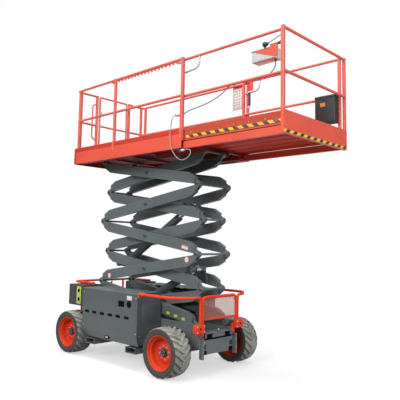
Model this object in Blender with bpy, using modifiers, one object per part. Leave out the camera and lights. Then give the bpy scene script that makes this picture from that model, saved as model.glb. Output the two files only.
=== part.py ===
"""Self-propelled scissor lift with a roll-out platform deck, as separate closed pieces.

X runs forward, Y to the left and Z up, in metres. The wheels stand on Z = 0.
"""
import math

import bmesh
import bpy
from mathutils import Matrix, Vector

# Fits
GAP = 0.0003            # between pieces that touch
CLEAR = 0.006           # between pieces that move past each other
SINK = 0.002            # how far the pieces of one body run into each other

# Wheels
TYRE_RADIUS = 0.330
TYRE_WIDTH = 0.300
TYRE_OUTER_Y = 0.875
RIM_RADIUS = 0.230
DISC_RECESS = 0.115     # from the tyre's outer face in to the wheel disc
DISC_THICK = 0.014
SPINDLE_RADIUS = 0.028
WHEEL_FACETS = 32
HUB_MOTOR_RADIUS = 0.082
FRONT_AXLE_X = 1.000
REAR_AXLE_X = -1.142
KINGPIN_Y = 0.500

# Scissor stack
ARM_SPAN = 2.195        # pin to pin
ARM_DEPTH = 0.150
ARM_WIDTH = 0.075
REST_ANGLE = math.radians(12.9)
STAGES = 5
STACK_GAP = 0.005       # between two stowed arms
BASE_PIN_Z = 0.640
REAR_PIN_X = -0.986
OUTER_ARM_Y = 0.3125    # middle planes of the arms
INNER_ARM_Y = 0.2045
PIN_RADIUS = 0.025
LUG_RADIUS = 0.045
LUG_PLATE = 0.014
LUG_TONGUE = 0.024
LUG_INSET = 0.0006
ARM_END = 0.058         # from a pin to the end of the arm's tube
ARM_BEVEL = (0.130, 0.050)
CROSS_ROD_RADIUS = 0.016
CENTRE_PIN_RADIUS = 0.030

# Lift cylinders: brackets as distance along an arm from its pin and height off the pin line
CYLINDER_RADIUS = 0.060
ROD_RADIUS = 0.036
EYE_RADIUS = 0.050
EYE_HALF = 0.042
BOSS_RADIUS = 0.040
EYE_PIN_RADIUS = 0.020
LOWER_BASE = (-0.800, 0.560)
LOWER_TOP = (0.350, 0.190)
UPPER_BASE = (0.250, -0.160)
UPPER_TOP = (0.450, 0.110)
LOWER_SHORTEST = 1.715  # between the eyes, stowed
UPPER_SHORTEST = 1.565

# Chassis
RAIL_Y = (0.257, 0.367)
RAIL_Z = (0.360, 0.590)
FRAME_X = (-1.360, 1.260)
TRACK_START_X = 0.180
TRACK_WALL = 0.012
TRACK_HEIGHT = 0.090
GUARD_X = 1.300
GUARD_Y = 0.410
GUARD_TOP_Z = 1.045
TUBE_RADIUS = 0.019

# Side compartments
POD_X = (-0.790, 0.504)
POD_Y = 0.8245
POD_TOP_Z = 1.056
POD_BOTTOM_Z = 0.324
POD_CREASE_Z = 0.430
POD_CHAMFER = 0.025
POWER_PACK_X = (-0.600, 0.300)
SHEET = 0.004
HOOD_HINGE = (0.385, 1.046)
FORK_POCKETS = (("front", 0.345), ("rear", -0.614))
FORK_WIDTH = 0.214
FORK_Z = (0.217, 0.300)
FORK_HALF = 0.800

# Platform
DECK_X = (-1.290, 1.2268)
DECK_HALF = 0.755
DECK_BOTTOM_Z = 3.0435
FLOOR_Z = (3.146, 3.150)
TOE_TOP_Z = 3.310
MID_RAIL_Z = 3.776
TOP_RAIL_Z = 4.291
RAIL_POST_Y = DECK_HALF - SHEET - GAP - TUBE_RADIUS
RIB_DEPTH = 0.032
DECK_RIBS = 6
CHANNEL_WEB_Y = (0.250, 0.262)
CHANNEL_X = (0.220, 1.224)
GATE_Y = (-0.282, 0.317)
GATE_FRAME_Y = (-0.344, 0.375)
EXT_FRONT_X = 2.847
EXT_REAR_X = 1.170
EXT_HALF = 0.705
EXT_FLOOR_Z = (3.156, 3.170)
EXT_BEAM_WIDTH = 0.040
RUNNER_X = (0.700, 1.130)
EXT_RAIL_Y = EXT_HALF - SHEET - GAP - TUBE_RADIUS

SIDES = (("right", -1), ("left", 1))
ORANGE = (0.80, 0.105, 0.055)
STEEL_GREY = (0.13, 0.145, 0.15)
DARK = (0.035, 0.037, 0.040)
RUBBER = (0.045, 0.045, 0.043)
PALE = (0.62, 0.62, 0.59)


# Worked out from the sizes above

ARM_RISE = ARM_DEPTH + STACK_GAP
ARM_RUN = math.sqrt(ARM_SPAN ** 2 - ARM_RISE ** 2)
ARM_TILT = math.atan2(ARM_RISE, ARM_RUN)
STAGE_Z = ARM_SPAN * math.sin(REST_ANGLE)
FRONT_PIN_X = REAR_PIN_X + ARM_SPAN * math.cos(REST_ANGLE)
PLATFORM_PIN_Z = BASE_PIN_Z + STAGES * STAGE_Z
LADDER_X = (FRAME_X[0], FRAME_X[0] - 0.140)
CENTRE_X = (LADDER_X[1] + EXT_FRONT_X) / 2


def clear_scene():
    for thing in list(bpy.data.objects):
        bpy.data.objects.remove(thing)


def make_collection(name):
    group = bpy.data.collections.new(name)
    bpy.context.scene.collection.children.link(group)
    return group


clear_scene()
PARTS = make_collection("scissor_lift")
root = bpy.data.objects.new("scissor_lift_origin", None)
root.location = (-CENTRE_X, 0, 0)
PARTS.objects.link(root)
MATERIALS = {}


def material(label, colour, roughness=0.5, metallic=0.0):
    if label not in MATERIALS:
        made = bpy.data.materials.new(label)
        made.use_nodes = True
        shader = made.node_tree.nodes["Principled BSDF"]
        shader.inputs["Base Color"].default_value = (*colour, 1)
        shader.inputs["Roughness"].default_value = roughness
        shader.inputs["Metallic"].default_value = metallic
        made.diffuse_color = (*colour, 1)
        MATERIALS[label] = made
    return MATERIALS[label]


def orange():
    return material("orange_paint", ORANGE, 0.42)


def grey():
    return material("grey_paint", STEEL_GREY, 0.45, 0.1)


def dark():
    return material("dark_steel", DARK, 0.5, 0.3)


def pale():
    return material("pale_plastic", PALE, 0.55)


# Solids: each returns an object that is fused into a finished piece

def taken(name="solid"):
    thing = bpy.context.object
    thing.name = name
    return thing


def apply_transform(thing):
    thing.data.transform(thing.matrix_basis)
    thing.matrix_basis = Matrix()
    return thing


def box(x, y, z):
    bpy.ops.mesh.primitive_cube_add(size=1)
    thing = taken()
    thing.location = [sum(pair) / 2 for pair in (x, y, z)]
    thing.scale = [abs(pair[1] - pair[0]) for pair in (x, y, z)]
    return apply_transform(thing)


def cylinder(radius, start, end, sides=12, turn=0.0):
    start = Vector(start)
    run = Vector(end) - start
    bpy.ops.mesh.primitive_cylinder_add(vertices=sides, radius=radius, depth=run.length)
    thing = taken()
    thing.data.transform(Matrix.Rotation(turn, 4, "Z"))
    thing.location = start + run / 2
    thing.rotation_mode = "QUATERNION"
    thing.rotation_quaternion = run.to_track_quat("Z", "Y")
    return apply_transform(thing)


def bore(pin_radius, start, end, sides=12):
    """Make the cutter for a bore whose flats stay one gap off a pin turned to any angle."""
    half_facet = math.pi / sides
    return cylinder((pin_radius + GAP) / math.cos(half_facet), start, end, sides, half_facet)


def bore_across(pin_radius, x, z, y_start, y_end, sides=12):
    return bore(pin_radius, (x, y_start, z), (x, y_end, z), sides)


def across(radius, x, z, y_start, y_end, sides=12):
    return cylinder(radius, (x, y_start, z), (x, y_end, z), sides)


def as_mesh(curve_object):
    evaluated = curve_object.evaluated_get(bpy.context.evaluated_depsgraph_get())
    mesh = bpy.data.meshes.new_from_object(evaluated)
    made = bpy.data.objects.new("solid", mesh)
    made.matrix_world = curve_object.matrix_world
    PARTS.objects.link(made)
    bpy.data.objects.remove(curve_object)
    weld(made)
    return made


def weld(thing):
    """Close the seams and merge the flat faces that a fill or a union split."""
    work = bmesh.new()
    work.from_mesh(thing.data)
    bmesh.ops.remove_doubles(work, verts=work.verts, dist=0.00001)
    bmesh.ops.dissolve_limit(work, angle_limit=math.radians(0.2), verts=work.verts, edges=work.edges)
    bmesh.ops.recalc_face_normals(work, faces=work.faces)
    work.to_mesh(thing.data)
    work.free()


def curve_from(points, closed, dimensions):
    curve = bpy.data.curves.new("curve", "CURVE")
    curve.dimensions = dimensions
    spline = curve.splines.new("POLY")
    spline.points.add(len(points) - 1)
    for place, point in zip(spline.points, points):
        place.co = (*point, 1) if len(point) == 3 else (*point, 0, 1)
    spline.use_cyclic_u = closed
    made = bpy.data.objects.new("curve", curve)
    PARTS.objects.link(made)
    bpy.context.view_layer.update()
    return made


def plate_xz(outline, y_start, y_end):
    made = curve_from(outline, True, "2D")
    made.data.fill_mode = "BOTH"
    made.data.extrude = abs(y_end - y_start) / 2
    made.rotation_euler = (math.pi / 2, 0, 0)
    made.location = (0, (y_start + y_end) / 2, 0)
    bpy.context.view_layer.update()
    return apply_transform(as_mesh(made))


def rounded(points, bend=0.06, steps=3):
    line = [Vector(points[0])]
    for before, corner, after in zip(points, points[1:], points[2:]):
        corner = Vector(corner)
        start = corner + (Vector(before) - corner).normalized() * bend
        end = corner + (Vector(after) - corner).normalized() * bend
        for step in range(steps + 1):
            t = step / steps
            line.append(start * (1 - t) ** 2 + corner * 2 * t * (1 - t) + end * t ** 2)
    line.append(Vector(points[-1]))
    return line


def tube(points, radius=TUBE_RADIUS, resolution=2):
    made = curve_from([tuple(point) for point in points], False, "3D")
    made.data.bevel_depth = radius
    made.data.bevel_resolution = resolution
    made.data.use_fill_caps = True
    bpy.context.view_layer.update()
    return apply_transform(as_mesh(made))


def turned(profile, centre, sides=32):
    mesh = bpy.data.meshes.new("profile")
    edges = [(i, i + 1) for i in range(len(profile) - 1)]
    if profile[0][0] > 0:
        edges.append((len(profile) - 1, 0))
    mesh.from_pydata([(radius, 0, height) for radius, height in profile], edges, [])
    made = bpy.data.objects.new("solid", mesh)
    PARTS.objects.link(made)
    screw = made.modifiers.new("Screw", "SCREW")
    screw.steps = screw.render_steps = sides
    screw.use_merge_vertices = True
    screw.merge_threshold = 0.0001
    made.rotation_euler = (-math.pi / 2, 0, 0)
    made.location = centre
    bpy.context.view_layer.update()
    return apply_transform(as_mesh(made))


def combine(first, others, operation):
    for other in others:
        step = first.modifiers.new("Boolean", "BOOLEAN")
        step.operation = operation
        step.solver = "EXACT"
        step.object = other
        bpy.context.view_layer.update()
        evaluated = first.evaluated_get(bpy.context.evaluated_depsgraph_get())
        mesh = bpy.data.meshes.new_from_object(evaluated)
        first.modifiers.clear()
        first.data = mesh
        bpy.data.objects.remove(other)
    return first


def finish(name, solids, look, origin=(0, 0, 0), cuts=()):
    piece = combine(solids[0], solids[1:], "UNION")
    piece = combine(piece, cuts, "DIFFERENCE")
    weld(piece)
    piece.name = name
    piece.data.name = name
    piece.data.transform(Matrix.Translation(-Vector(origin)))
    piece.location = origin
    piece.parent = root
    piece.data.materials.clear()
    piece.data.materials.append(look)
    piece.data.set_sharp_from_angle(angle=math.radians(35))
    for group in list(piece.users_collection):
        group.objects.unlink(piece)
    PARTS.objects.link(piece)
    return piece


# Wheels and axles

def make_wheel(name, x, side):
    outer = side * TYRE_OUTER_Y
    inner = side * (TYRE_OUTER_Y - TYRE_WIDTH)
    middle = (outer + inner) / 2
    half = TYRE_WIDTH / 2
    shoulder = TYRE_RADIUS - 0.030
    section = [
        (TYRE_RADIUS, 0.105), (TYRE_RADIUS, -0.105),
        (shoulder, -half), (0.255, -half + 0.004), (RIM_RADIUS + GAP, -half + 0.012),
        (RIM_RADIUS + GAP, half - 0.012), (0.255, half - 0.004), (shoulder, half),
    ]
    centre = (x, middle, TYRE_RADIUS)
    tyre = turned(section, centre, WHEEL_FACETS)
    finish("tyre_" + name, [tyre], material("tyre_rubber", RUBBER, 0.85), centre)

    rim_half = half - 0.014
    disc = half - DISC_RECESS
    wall = 0.020
    rim_section = [
        (0.0, disc), (RIM_RADIUS - wall, disc), (RIM_RADIUS - wall, rim_half),
        (RIM_RADIUS, rim_half), (RIM_RADIUS, -rim_half),
        (RIM_RADIUS - wall, -rim_half), (RIM_RADIUS - wall, disc - DISC_THICK),
        (0.0, disc - DISC_THICK),
    ]
    if side < 0:
        rim_section = [(radius, -height) for radius, height in reversed(rim_section)]
    rim = turned(rim_section, centre, WHEEL_FACETS)
    face = middle + side * disc
    hub = across(0.045, x, TYRE_RADIUS, face - side * SINK, face + side * 0.035, 12)
    hole = bore_across(SPINDLE_RADIUS, x, TYRE_RADIUS, face - side * 0.050, face + side * 0.017)
    finish("rim_" + name, [rim, hub], material("rim_paint", PALE, 0.5), centre, [hole])


def drive_end(side, start, x):
    """Make a hub motor with the spindle that the wheel turns on."""
    face = side * (TYRE_OUTER_Y - DISC_RECESS - DISC_THICK - CLEAR)
    motor = across(HUB_MOTOR_RADIUS, x, TYRE_RADIUS, start, face, 18)
    spindle_end = side * (TYRE_OUTER_Y - DISC_RECESS + 0.015)
    return [motor, across(SPINDLE_RADIUS, x, TYRE_RADIUS, face - side * SINK, spindle_end)]


def make_rear_axle():
    x = REAR_AXLE_X
    top = RAIL_Z[0] - GAP
    beam = box((x - 0.070, x + 0.070), (-0.530, 0.530), (0.270, top))
    ends = []
    for name, side in SIDES:
        ends += drive_end(side, side * 0.480, x)
    finish("rear_axle", [beam] + ends, grey())


def make_front_axle():
    x = FRONT_AXLE_X
    top = RAIL_Z[0] - GAP
    solids = [box((x - 0.060, x + 0.060), (-0.440, 0.440), (0.290, top))]
    for name, side in SIDES:
        web = sorted((side * 0.425, side * 0.448))
        arm = sorted((side * 0.430, side * (KINGPIN_Y + 0.035)))
        solids.append(box((x - 0.050, x + 0.050), web, (0.226, 0.434)))
        solids.append(box((x - 0.045, x + 0.045), arm, (0.224, 0.244)))
        solids.append(box((x - 0.045, x + 0.045), arm, (0.416, 0.436)))
        solids.append(cylinder(0.018, (x, side * KINGPIN_Y, 0.230), (x, side * KINGPIN_Y, 0.430)))
    finish("front_axle", solids, grey())


def make_knuckle(name, side):
    x = FRONT_AXLE_X
    body = cylinder(0.036, (x, side * KINGPIN_Y, 0.250), (x, side * KINGPIN_Y, 0.410))
    motor = drive_end(side, side * (KINGPIN_Y + 0.025), x)
    hole = bore(0.018, (x, side * KINGPIN_Y, 0.200), (x, side * KINGPIN_Y, 0.460))
    kingpin = (x, side * KINGPIN_Y, TYRE_RADIUS)
    finish("knuckle_" + name, [body] + motor, grey(), kingpin, [hole])


# Scissor arms

def lug_outline(reach=0.020, depth=0.080):
    edge = STACK_GAP / 2
    root_low = (ARM_END + 0.001, edge + 0.0015)
    distance = math.hypot(*root_low)
    lean = math.atan2(root_low[1], root_low[0])
    start = lean - math.acos(LUG_RADIUS / distance)
    end = math.radians(-250)
    arc = []
    steps = 7
    for step in range(steps + 1):
        angle = start + (end - start) * step / steps
        arc.append((LUG_RADIUS * math.cos(angle), LUG_RADIUS * math.sin(angle)))
    return arc + [
        (ARM_END, edge + depth), (ARM_END + reach, edge + depth - 0.004),
        (ARM_END + reach, edge + 0.004), root_low,
    ]


def arm_outline():
    edge = STACK_GAP / 2
    long, deep = ARM_BEVEL
    half = [
        (ARM_END, edge), (ARM_RUN - ARM_END - long, edge), (ARM_RUN - ARM_END, edge + deep),
    ]
    return half + [turned_over(point) for point in half]


def turned_over(point):
    return (ARM_RUN - point[0], ARM_RISE - point[1])


def arm_frame(stage, climbs_forward):
    """Return the function that carries a point of the arm (along, up) to world X and Z."""
    level = BASE_PIN_Z + (stage - 1) * STAGE_Z
    turn = REST_ANGLE - ARM_TILT
    start = REAR_PIN_X if climbs_forward else FRONT_PIN_X
    way = 1 if climbs_forward else -1

    def carry(point):
        along, up = point
        x = along * math.cos(turn) - up * math.sin(turn)
        z = along * math.sin(turn) + up * math.cos(turn)
        return (start + way * x, level + z)
    return carry


def on_pin_line(along, off, from_top=False):
    """Turn a place given on the pin line into the arm's own (along, up)."""
    if from_top:
        along = ARM_SPAN - along
    tilt = ARM_TILT
    return (along * math.cos(tilt) - off * math.sin(tilt),
            along * math.sin(tilt) + off * math.cos(tilt))


def half_round(x, z, way):
    """List the points round the free end of a lug that stands up (1) or hangs down (-1)."""
    turns = [math.pi * step / 6 for step in range(7)]
    return [(x + way * LUG_RADIUS * math.cos(turn), z + way * LUG_RADIUS * math.sin(turn))
            for turn in turns]


def make_arm_pair(stage, outer, brackets=()):
    climbs = (stage % 2 == 0) if outer else (stage % 2 == 1)
    carry = arm_frame(stage, climbs)
    plane = OUTER_ARM_Y if outer else INNER_ARM_Y
    foot = outer and stage == 1
    head = not outer and stage == STAGES
    low = carry((0, 0))
    high = carry((ARM_RUN, ARM_RISE))
    middle = carry((ARM_RUN / 2, ARM_RISE / 2))
    half = ARM_WIDTH / 2
    lug = [carry(point) for point in lug_outline()]
    top_lug = [carry(turned_over(point)) for point in lug_outline()]
    bar = [carry(point) for point in arm_outline()]
    solids = []
    cuts = []
    for name, side in SIDES:
        y = side * plane
        solids.append(plate_xz(bar, y - half, y + half))
        solids.append(plate_xz(lug, y - LUG_TONGUE / 2, y + LUG_TONGUE / 2))
        if foot:
            solids.append(across(LUG_RADIUS, *low, y - half + 0.003, y + half - 0.003, 16))
        else:
            cuts.append(bore_across(PIN_RADIUS, *low, y - half - 0.010, y + half + 0.010))
        if head:
            solids.append(plate_xz(top_lug, y - LUG_TONGUE / 2, y + LUG_TONGUE / 2))
            solids.append(across(LUG_RADIUS, *high, y - half + 0.003, y + half - 0.003, 16))
        else:
            for offset in (LUG_INSET - half, half - LUG_INSET - LUG_PLATE):
                solids.append(plate_xz(top_lug, y + offset, y + offset + LUG_PLATE))
            solids.append(across(PIN_RADIUS, *high, y - half - 0.006, y + half + 0.006))
        if outer:
            cuts.append(bore_across(CENTRE_PIN_RADIUS, *middle, y - 0.06, y + 0.06))
        else:
            face = y + side * half
            solids.append(across(0.048, *middle, face - side * SINK,
                                 face + side * (OUTER_ARM_Y - INNER_ARM_Y - ARM_WIDTH - CLEAR), 14))
            solids.append(across(CENTRE_PIN_RADIUS, *middle, y + side * 0.011,
                                 side * (OUTER_ARM_Y + half + 0.012)))
    reach = plane - half + 0.004
    solids.append(across(CROSS_ROD_RADIUS, *high, -reach, reach, 10))
    for along, off, from_top, with_pin in brackets:
        solids += cylinder_bracket(carry, on_pin_line(along, off, from_top), with_pin)
    name = ("outer_arms_" if outer else "inner_arms_") + str(stage)
    origin = (middle[0], 0, middle[1])
    if stage == 1 and not outer:
        origin = (low[0], 0, low[1])
    finish(name, solids, grey(), origin, cuts)


def cylinder_bracket(carry, eye, with_pin):
    """Build gussets on the inside of both arms that reach to a cylinder's eye."""
    spread = 0.085
    pad = (ARM_DEPTH * 0.2, ARM_DEPTH * 0.8)
    centre = carry(eye)
    face = INNER_ARM_Y - ARM_WIDTH / 2
    seat = [(eye[0] - spread, pad[0]), (eye[0] + spread, pad[0]),
            (eye[0] + spread, pad[1]), (eye[0] - spread, pad[1])]
    seat = [carry(point) for point in seat]
    neck = BOSS_RADIUS * 0.85
    outline = [(eye[0] - spread * 0.9, ARM_DEPTH / 2), (eye[0] - neck, eye[1]),
               (eye[0] + neck, eye[1]), (eye[0] + spread * 0.9, ARM_DEPTH / 2)]
    outline = [carry(point) for point in outline]
    solids = []
    for name, side in SIDES:
        solids.append(plate_xz(seat, side * (face - 0.012), side * (face + SINK)))
        solids.append(plate_xz(outline, side * (face - 0.022), side * (face - 0.004)))
        solids.append(across(BOSS_RADIUS, *centre, side * (EYE_HALF + 0.008), side * (face - 0.003)))
    if with_pin:
        solids.append(across(EYE_PIN_RADIUS, *centre, -EYE_HALF - 0.020, EYE_HALF + 0.020))
    return solids


# Lift cylinders

def make_cylinder(name, base, top, shortest):
    start = Vector((base[0], 0, base[1]))
    end = Vector((top[0], 0, top[1]))
    way = (end - start).normalized()
    length = (end - start).length
    sleeve = shortest - EYE_RADIUS - 0.050
    bottom = 0.130
    body = cylinder(CYLINDER_RADIUS, start + way * 0.070, start + way * sleeve, 20)
    neck = cylinder(0.038, start, start + way * 0.080)
    eye = across(EYE_RADIUS, *base, -EYE_HALF, EYE_HALF)
    chamber = bore(ROD_RADIUS, start + way * bottom, start + way * (sleeve + 0.050), 16)
    pin_hole = bore_across(EYE_PIN_RADIUS, *base, -0.080, 0.080)
    look = dark()
    finish(name + "_barrel", [body, neck, eye], look, start, [chamber, pin_hole])
    chrome = material("chrome", (0.6, 0.6, 0.6), 0.2, 1.0)
    inner_end = bottom + length - shortest + CLEAR
    bar = cylinder(ROD_RADIUS, start + way * inner_end, end - way * 0.030, 16)
    rod_eye = across(EYE_RADIUS, *top, -EYE_HALF, EYE_HALF)
    rod_hole = bore_across(EYE_PIN_RADIUS, *top, -0.080, 0.080)
    finish(name + "_rod", [bar, rod_eye], chrome, end, [rod_hole])


# Chassis

def make_chassis():
    solids = []
    for name, side in SIDES:
        rail = sorted((side * RAIL_Y[0], side * RAIL_Y[1]))
        solids.append(box(FRAME_X, rail, RAIL_Z))
    for x, width, low, high in (
            (REAR_PIN_X, 0.180, 0.430, 0.578), (LOWER_BASE[0], 0.110, 0.370, 0.484),
            (0.000, 0.120, 0.380, 0.480), (FRONT_AXLE_X, 0.140, 0.380, 0.520),
            (FRAME_X[1] - 0.030, 0.060, 0.380, 0.560), (FRAME_X[0] + 0.030, 0.060, 0.380, 0.560)):
        reach = RAIL_Y[0] + 0.010
        end = min(x + width / 2, FRAME_X[1])
        solids.append(box((x - width / 2, end), (-reach, reach), (low, high)))
    half = ARM_WIDTH / 2
    ear = half_round(REAR_PIN_X, BASE_PIN_Z, 1)
    ear += [(REAR_PIN_X - LUG_RADIUS, 0.560), (REAR_PIN_X + LUG_RADIUS, 0.560)]
    base_x, base_z = LOWER_BASE
    for name, side in SIDES:
        y = side * INNER_ARM_Y
        for offset in (-half, half - LUG_PLATE):
            solids.append(plate_xz(ear, y + offset, y + offset + LUG_PLATE))
        solids.append(across(PIN_RADIUS, REAR_PIN_X, BASE_PIN_Z, y - half - 0.006, y + half + 0.006))
        post = sorted((side * (EYE_HALF + 0.008), side * (EYE_HALF + 0.032)))
        solids.append(box((base_x - 0.040, base_x + 0.040), post, (0.470, base_z + 0.036)))
    solids.append(across(EYE_PIN_RADIUS, base_x, base_z, -EYE_HALF - 0.024, EYE_HALF + 0.024))
    plates, eyes = front_plate()
    finish("chassis_frame", solids + plates, grey(), (0, 0, RAIL_Z[0]), eyes)


def make_track(name, side):
    """Build the wall that keeps the lowest arms' sliding feet on the rail."""
    wall = sorted((side * (RAIL_Y[1] - TRACK_WALL), side * RAIL_Y[1]))
    z = (RAIL_Z[1] + GAP, RAIL_Z[1] + TRACK_HEIGHT)
    finish("track_" + name, [box((TRACK_START_X, FRAME_X[1]), wall, z)], grey(), (TRACK_START_X, 0, z[0]))


def front_plate():
    x = FRAME_X[1] - SINK
    solids = [box((x, x + 0.017), (-0.320, 0.320), (0.270, 0.460))]
    eyes = []
    for name, side in SIDES:
        plate = sorted((side * 0.335, side * 0.365))
        solids.append(box((x, x + 0.062), plate, (0.225, 0.500)))
        link = sorted((side * 0.310, side * 0.345))
        solids.append(box((x + 0.001, x + 0.014), link, (0.280, 0.450)))
        eyes.append(across(0.018, x + 0.038, 0.262, side * 0.300, side * 0.400))
    return solids, eyes


def make_fork_pocket(name, x):
    half = FORK_WIDTH / 2
    outside = box((x - half, x + half), (-FORK_HALF, FORK_HALF), FORK_Z)
    inside = box((x - half + 0.006, x + half - 0.006), (-FORK_HALF - 0.1, FORK_HALF + 0.1),
                 (FORK_Z[0] + 0.006, FORK_Z[1] - 0.006))
    solids = [outside]
    for side_name, side in SIDES:
        y = sorted((side * RAIL_Y[0], side * RAIL_Y[1]))
        solids.append(box((x - 0.060, x + 0.060), y, (FORK_Z[1] - SINK, RAIL_Z[0] - GAP)))
    finish("fork_pocket_" + name, solids, dark(), (x, 0, FORK_Z[0]), [inside])


def make_front_guard():
    z = GUARD_TOP_Z
    near = [
        (POD_X[1] + 0.012, POD_Y - 0.045, z), (1.120, POD_Y - 0.045, z),
        (GUARD_X, GUARD_Y + 0.150, z), (GUARD_X, 0, z),
    ]
    line = rounded(near, 0.120)
    line += [Vector((point.x, -point.y, point.z)) for point in reversed(line[:-1])]
    solids = [tube(line, 0.020)]
    for name, side in SIDES:
        solids.append(tube([(GUARD_X, side * GUARD_Y, 0.600), (GUARD_X, side * GUARD_Y, z)], 0.020))
        block = sorted((side * 0.340, side * 0.500))
        solids.append(box((FRAME_X[1] + 0.012, GUARD_X + 0.035), block, (0.580, 0.690)))
        pad = sorted((side * 0.300, side * 0.366))
        solids.append(box((FRAME_X[1] + GAP, FRAME_X[1] + 0.020), pad, (0.520, 0.640)))
    solids.append(tube([(GUARD_X, -GUARD_Y, 0.750), (GUARD_X, GUARD_Y, 0.750)], 0.012))
    finish("front_guard", solids, orange(), (GUARD_X, 0, 0.600))


def make_guard_mesh():
    reach = GUARD_Y - 0.020 - GAP
    screen = box((GUARD_X - 0.004, GUARD_X + 0.004), (-reach, reach),
                 (0.762 + GAP, GUARD_TOP_Z - 0.020 - GAP))
    finish("guard_screen", [screen], dark(), (GUARD_X, 0, 0.9))


def make_rear_guard():
    x = FRAME_X[0] - 0.010
    z = 1.100
    near = [(POD_X[0] - 0.030, 0.600, z), (x, 0.600, z), (x, 0, z)]
    line = rounded(near, 0.120)
    line += [Vector((point.x, -point.y, point.z)) for point in reversed(line[:-1])]
    solids = [tube(line, 0.018)]
    for name, side in SIDES:
        post_y = side * 0.440
        solids.append(tube([(x, post_y, 0.500), (x, post_y, z)], 0.018))
        foot = sorted((side * (RAIL_Y[1] + GAP), side * 0.450))
        solids.append(box((x - 0.020, FRAME_X[0] + 0.100), foot, (0.460, 0.540)))
    finish("rear_guard", solids, orange(), (x, 0, z))


def make_ladder():
    near, far = LADDER_X
    solids = []
    for name, side in SIDES:
        y = side * 0.200
        solids.append(tube(rounded([(far + 0.015, y, 0.300), (far + 0.015, y, 0.980),
                                    (near - 0.020, y, 1.060)], 0.060), 0.015))
        solids.append(box((far + 0.010, near - GAP), sorted((y - 0.012, y + 0.012)), (0.480, 0.530)))
        solids.append(box((near - 0.012, near - GAP), sorted((side * 0.180, side * 0.340)), (0.460, 0.550)))
    for z in (0.330, 0.600, 0.870):
        solids.append(box((far, far + 0.030), (-0.200, 0.200), (z - 0.012, z + 0.012)))
    finish("ladder", solids, grey(), (near, 0, 0.5))


def make_rear_cabinet(name, side):
    x = (-1.250, -0.850)
    y = sorted((side * 0.400, side * 0.780))
    shell = box(x, y, (0.750, 1.075))
    bevel = shell.modifiers.new("Bevel", "BEVEL")
    bevel.width = 0.012
    bevel.segments = 2
    shell = as_mesh(shell)
    post = sorted((side * (RAIL_Y[1] + GAP), side * 0.440))
    foot = box((-1.120, -0.960), post, (0.420, 0.760))
    finish("rear_cabinet_" + name, [shell, foot], dark(), (x[0], side * 0.4, 0.75))


def make_pod(name, side):
    inner = RAIL_Y[1] + GAP
    outer = POD_Y - SHEET - CLEAR
    top = POD_TOP_Z - SHEET - CLEAR
    hinge_y, hinge_z = HOOD_HINGE
    solids = [
        box(POD_X, sorted((side * inner, side * (inner + SHEET))), (0.340, hinge_z - 0.030)),
        box(POD_X, sorted((side * inner, side * (POD_Y - 0.060))), (0.336, 0.342)),
    ]
    block = sorted((side * (inner + SHEET - 0.001), side * 0.720))
    solids.append(box(POWER_PACK_X, block, (0.341, 0.760)))
    for end in POD_X:
        inward = 0.008 if end == POD_X[0] else -0.008
        wall = sorted((end + inward, end + inward * 1.5))
        outline = sorted((side * inner, side * outer))
        solids.append(box(wall, outline, (0.440, top - POD_CHAMFER)))
        narrow = sorted((side * inner, side * (outer - POD_CHAMFER)))
        solids.append(box(wall, narrow, (0.900, top)))
        solids.append(box(wall, sorted((side * inner, side * (POD_Y - 0.060))), (0.338, 0.450)))
    for x in (POD_X[0] + 0.150, (POD_X[0] + POD_X[1]) / 2, POD_X[1] - 0.150):
        ear = sorted((side * (inner + 0.001), side * (hinge_y + 0.004)))
        solids.append(box((x - 0.015, x + 0.015), ear, (hinge_z - 0.045, hinge_z)))
    solids.append(cylinder(0.006, (POD_X[0] + 0.060, side * hinge_y, hinge_z),
                           (POD_X[1] - 0.060, side * hinge_y, hinge_z), 12))
    finish("pod_tray_" + name, solids, dark(), (0, side * inner, 0.336))


def make_hood(name, side):
    hinge_y, hinge_z = HOOD_HINGE
    profile = [
        (hinge_y + 0.010, POD_TOP_Z), (POD_Y - POD_CHAMFER, POD_TOP_Z),
        (POD_Y, POD_TOP_Z - POD_CHAMFER), (POD_Y, POD_CREASE_Z),
        (POD_Y - 0.040, POD_BOTTOM_Z),
    ]
    mesh = bpy.data.meshes.new("sheet")
    points = []
    for x in POD_X:
        points += [(x, side * y, z) for y, z in profile]
    count = len(profile)
    faces = [(i, i + 1, count + i + 1, count + i) for i in range(count - 1)]
    mesh.from_pydata(points, [], faces)
    sheet = bpy.data.objects.new("solid", mesh)
    PARTS.objects.link(sheet)
    thick = sheet.modifiers.new("Solidify", "SOLIDIFY")
    thick.thickness = SHEET
    thick.offset = -1 if side < 0 else 1
    thick.use_even_offset = True
    bpy.context.view_layer.update()
    sheet = as_mesh(sheet)
    solids = [sheet]
    bores = []
    spread = (POD_X[1] - POD_X[0]) / 4
    for x in (POD_X[0] + spread, POD_X[1] - spread):
        start = (x - 0.030, side * hinge_y, hinge_z)
        end = (x + 0.030, side * hinge_y, hinge_z)
        solids.append(cylinder(0.0115, start, end, 12))
        leaf = sorted((side * hinge_y, side * (hinge_y + 0.050)))
        solids.append(box((x - 0.030, x + 0.030), leaf, (hinge_z + 0.0035, POD_TOP_Z - SHEET + 0.001)))
        bores.append(bore(0.006, (x - 0.040, side * hinge_y, hinge_z),
                          (x + 0.040, side * hinge_y, hinge_z)))
    finish("hood_" + name, solids, orange(), (0, side * hinge_y, hinge_z), bores)


# Platform

def make_deck():
    floor = box(DECK_X, (-DECK_HALF + SHEET + GAP, DECK_HALF - SHEET - GAP), FLOOR_Z)
    finish("deck_floor", [floor], grey(), (0, 0, FLOOR_Z[1]))
    for name, side in SIDES:
        skin = sorted((side * (DECK_HALF - SHEET), side * DECK_HALF))
        skirt = box(DECK_X, skin, (DECK_BOTTOM_Z, TOE_TOP_Z))
        finish("deck_skirt_" + name, [skirt], orange(), (0, side * DECK_HALF, DECK_BOTTOM_Z))
    make_deck_frame()
    make_rear_skirt()


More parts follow.
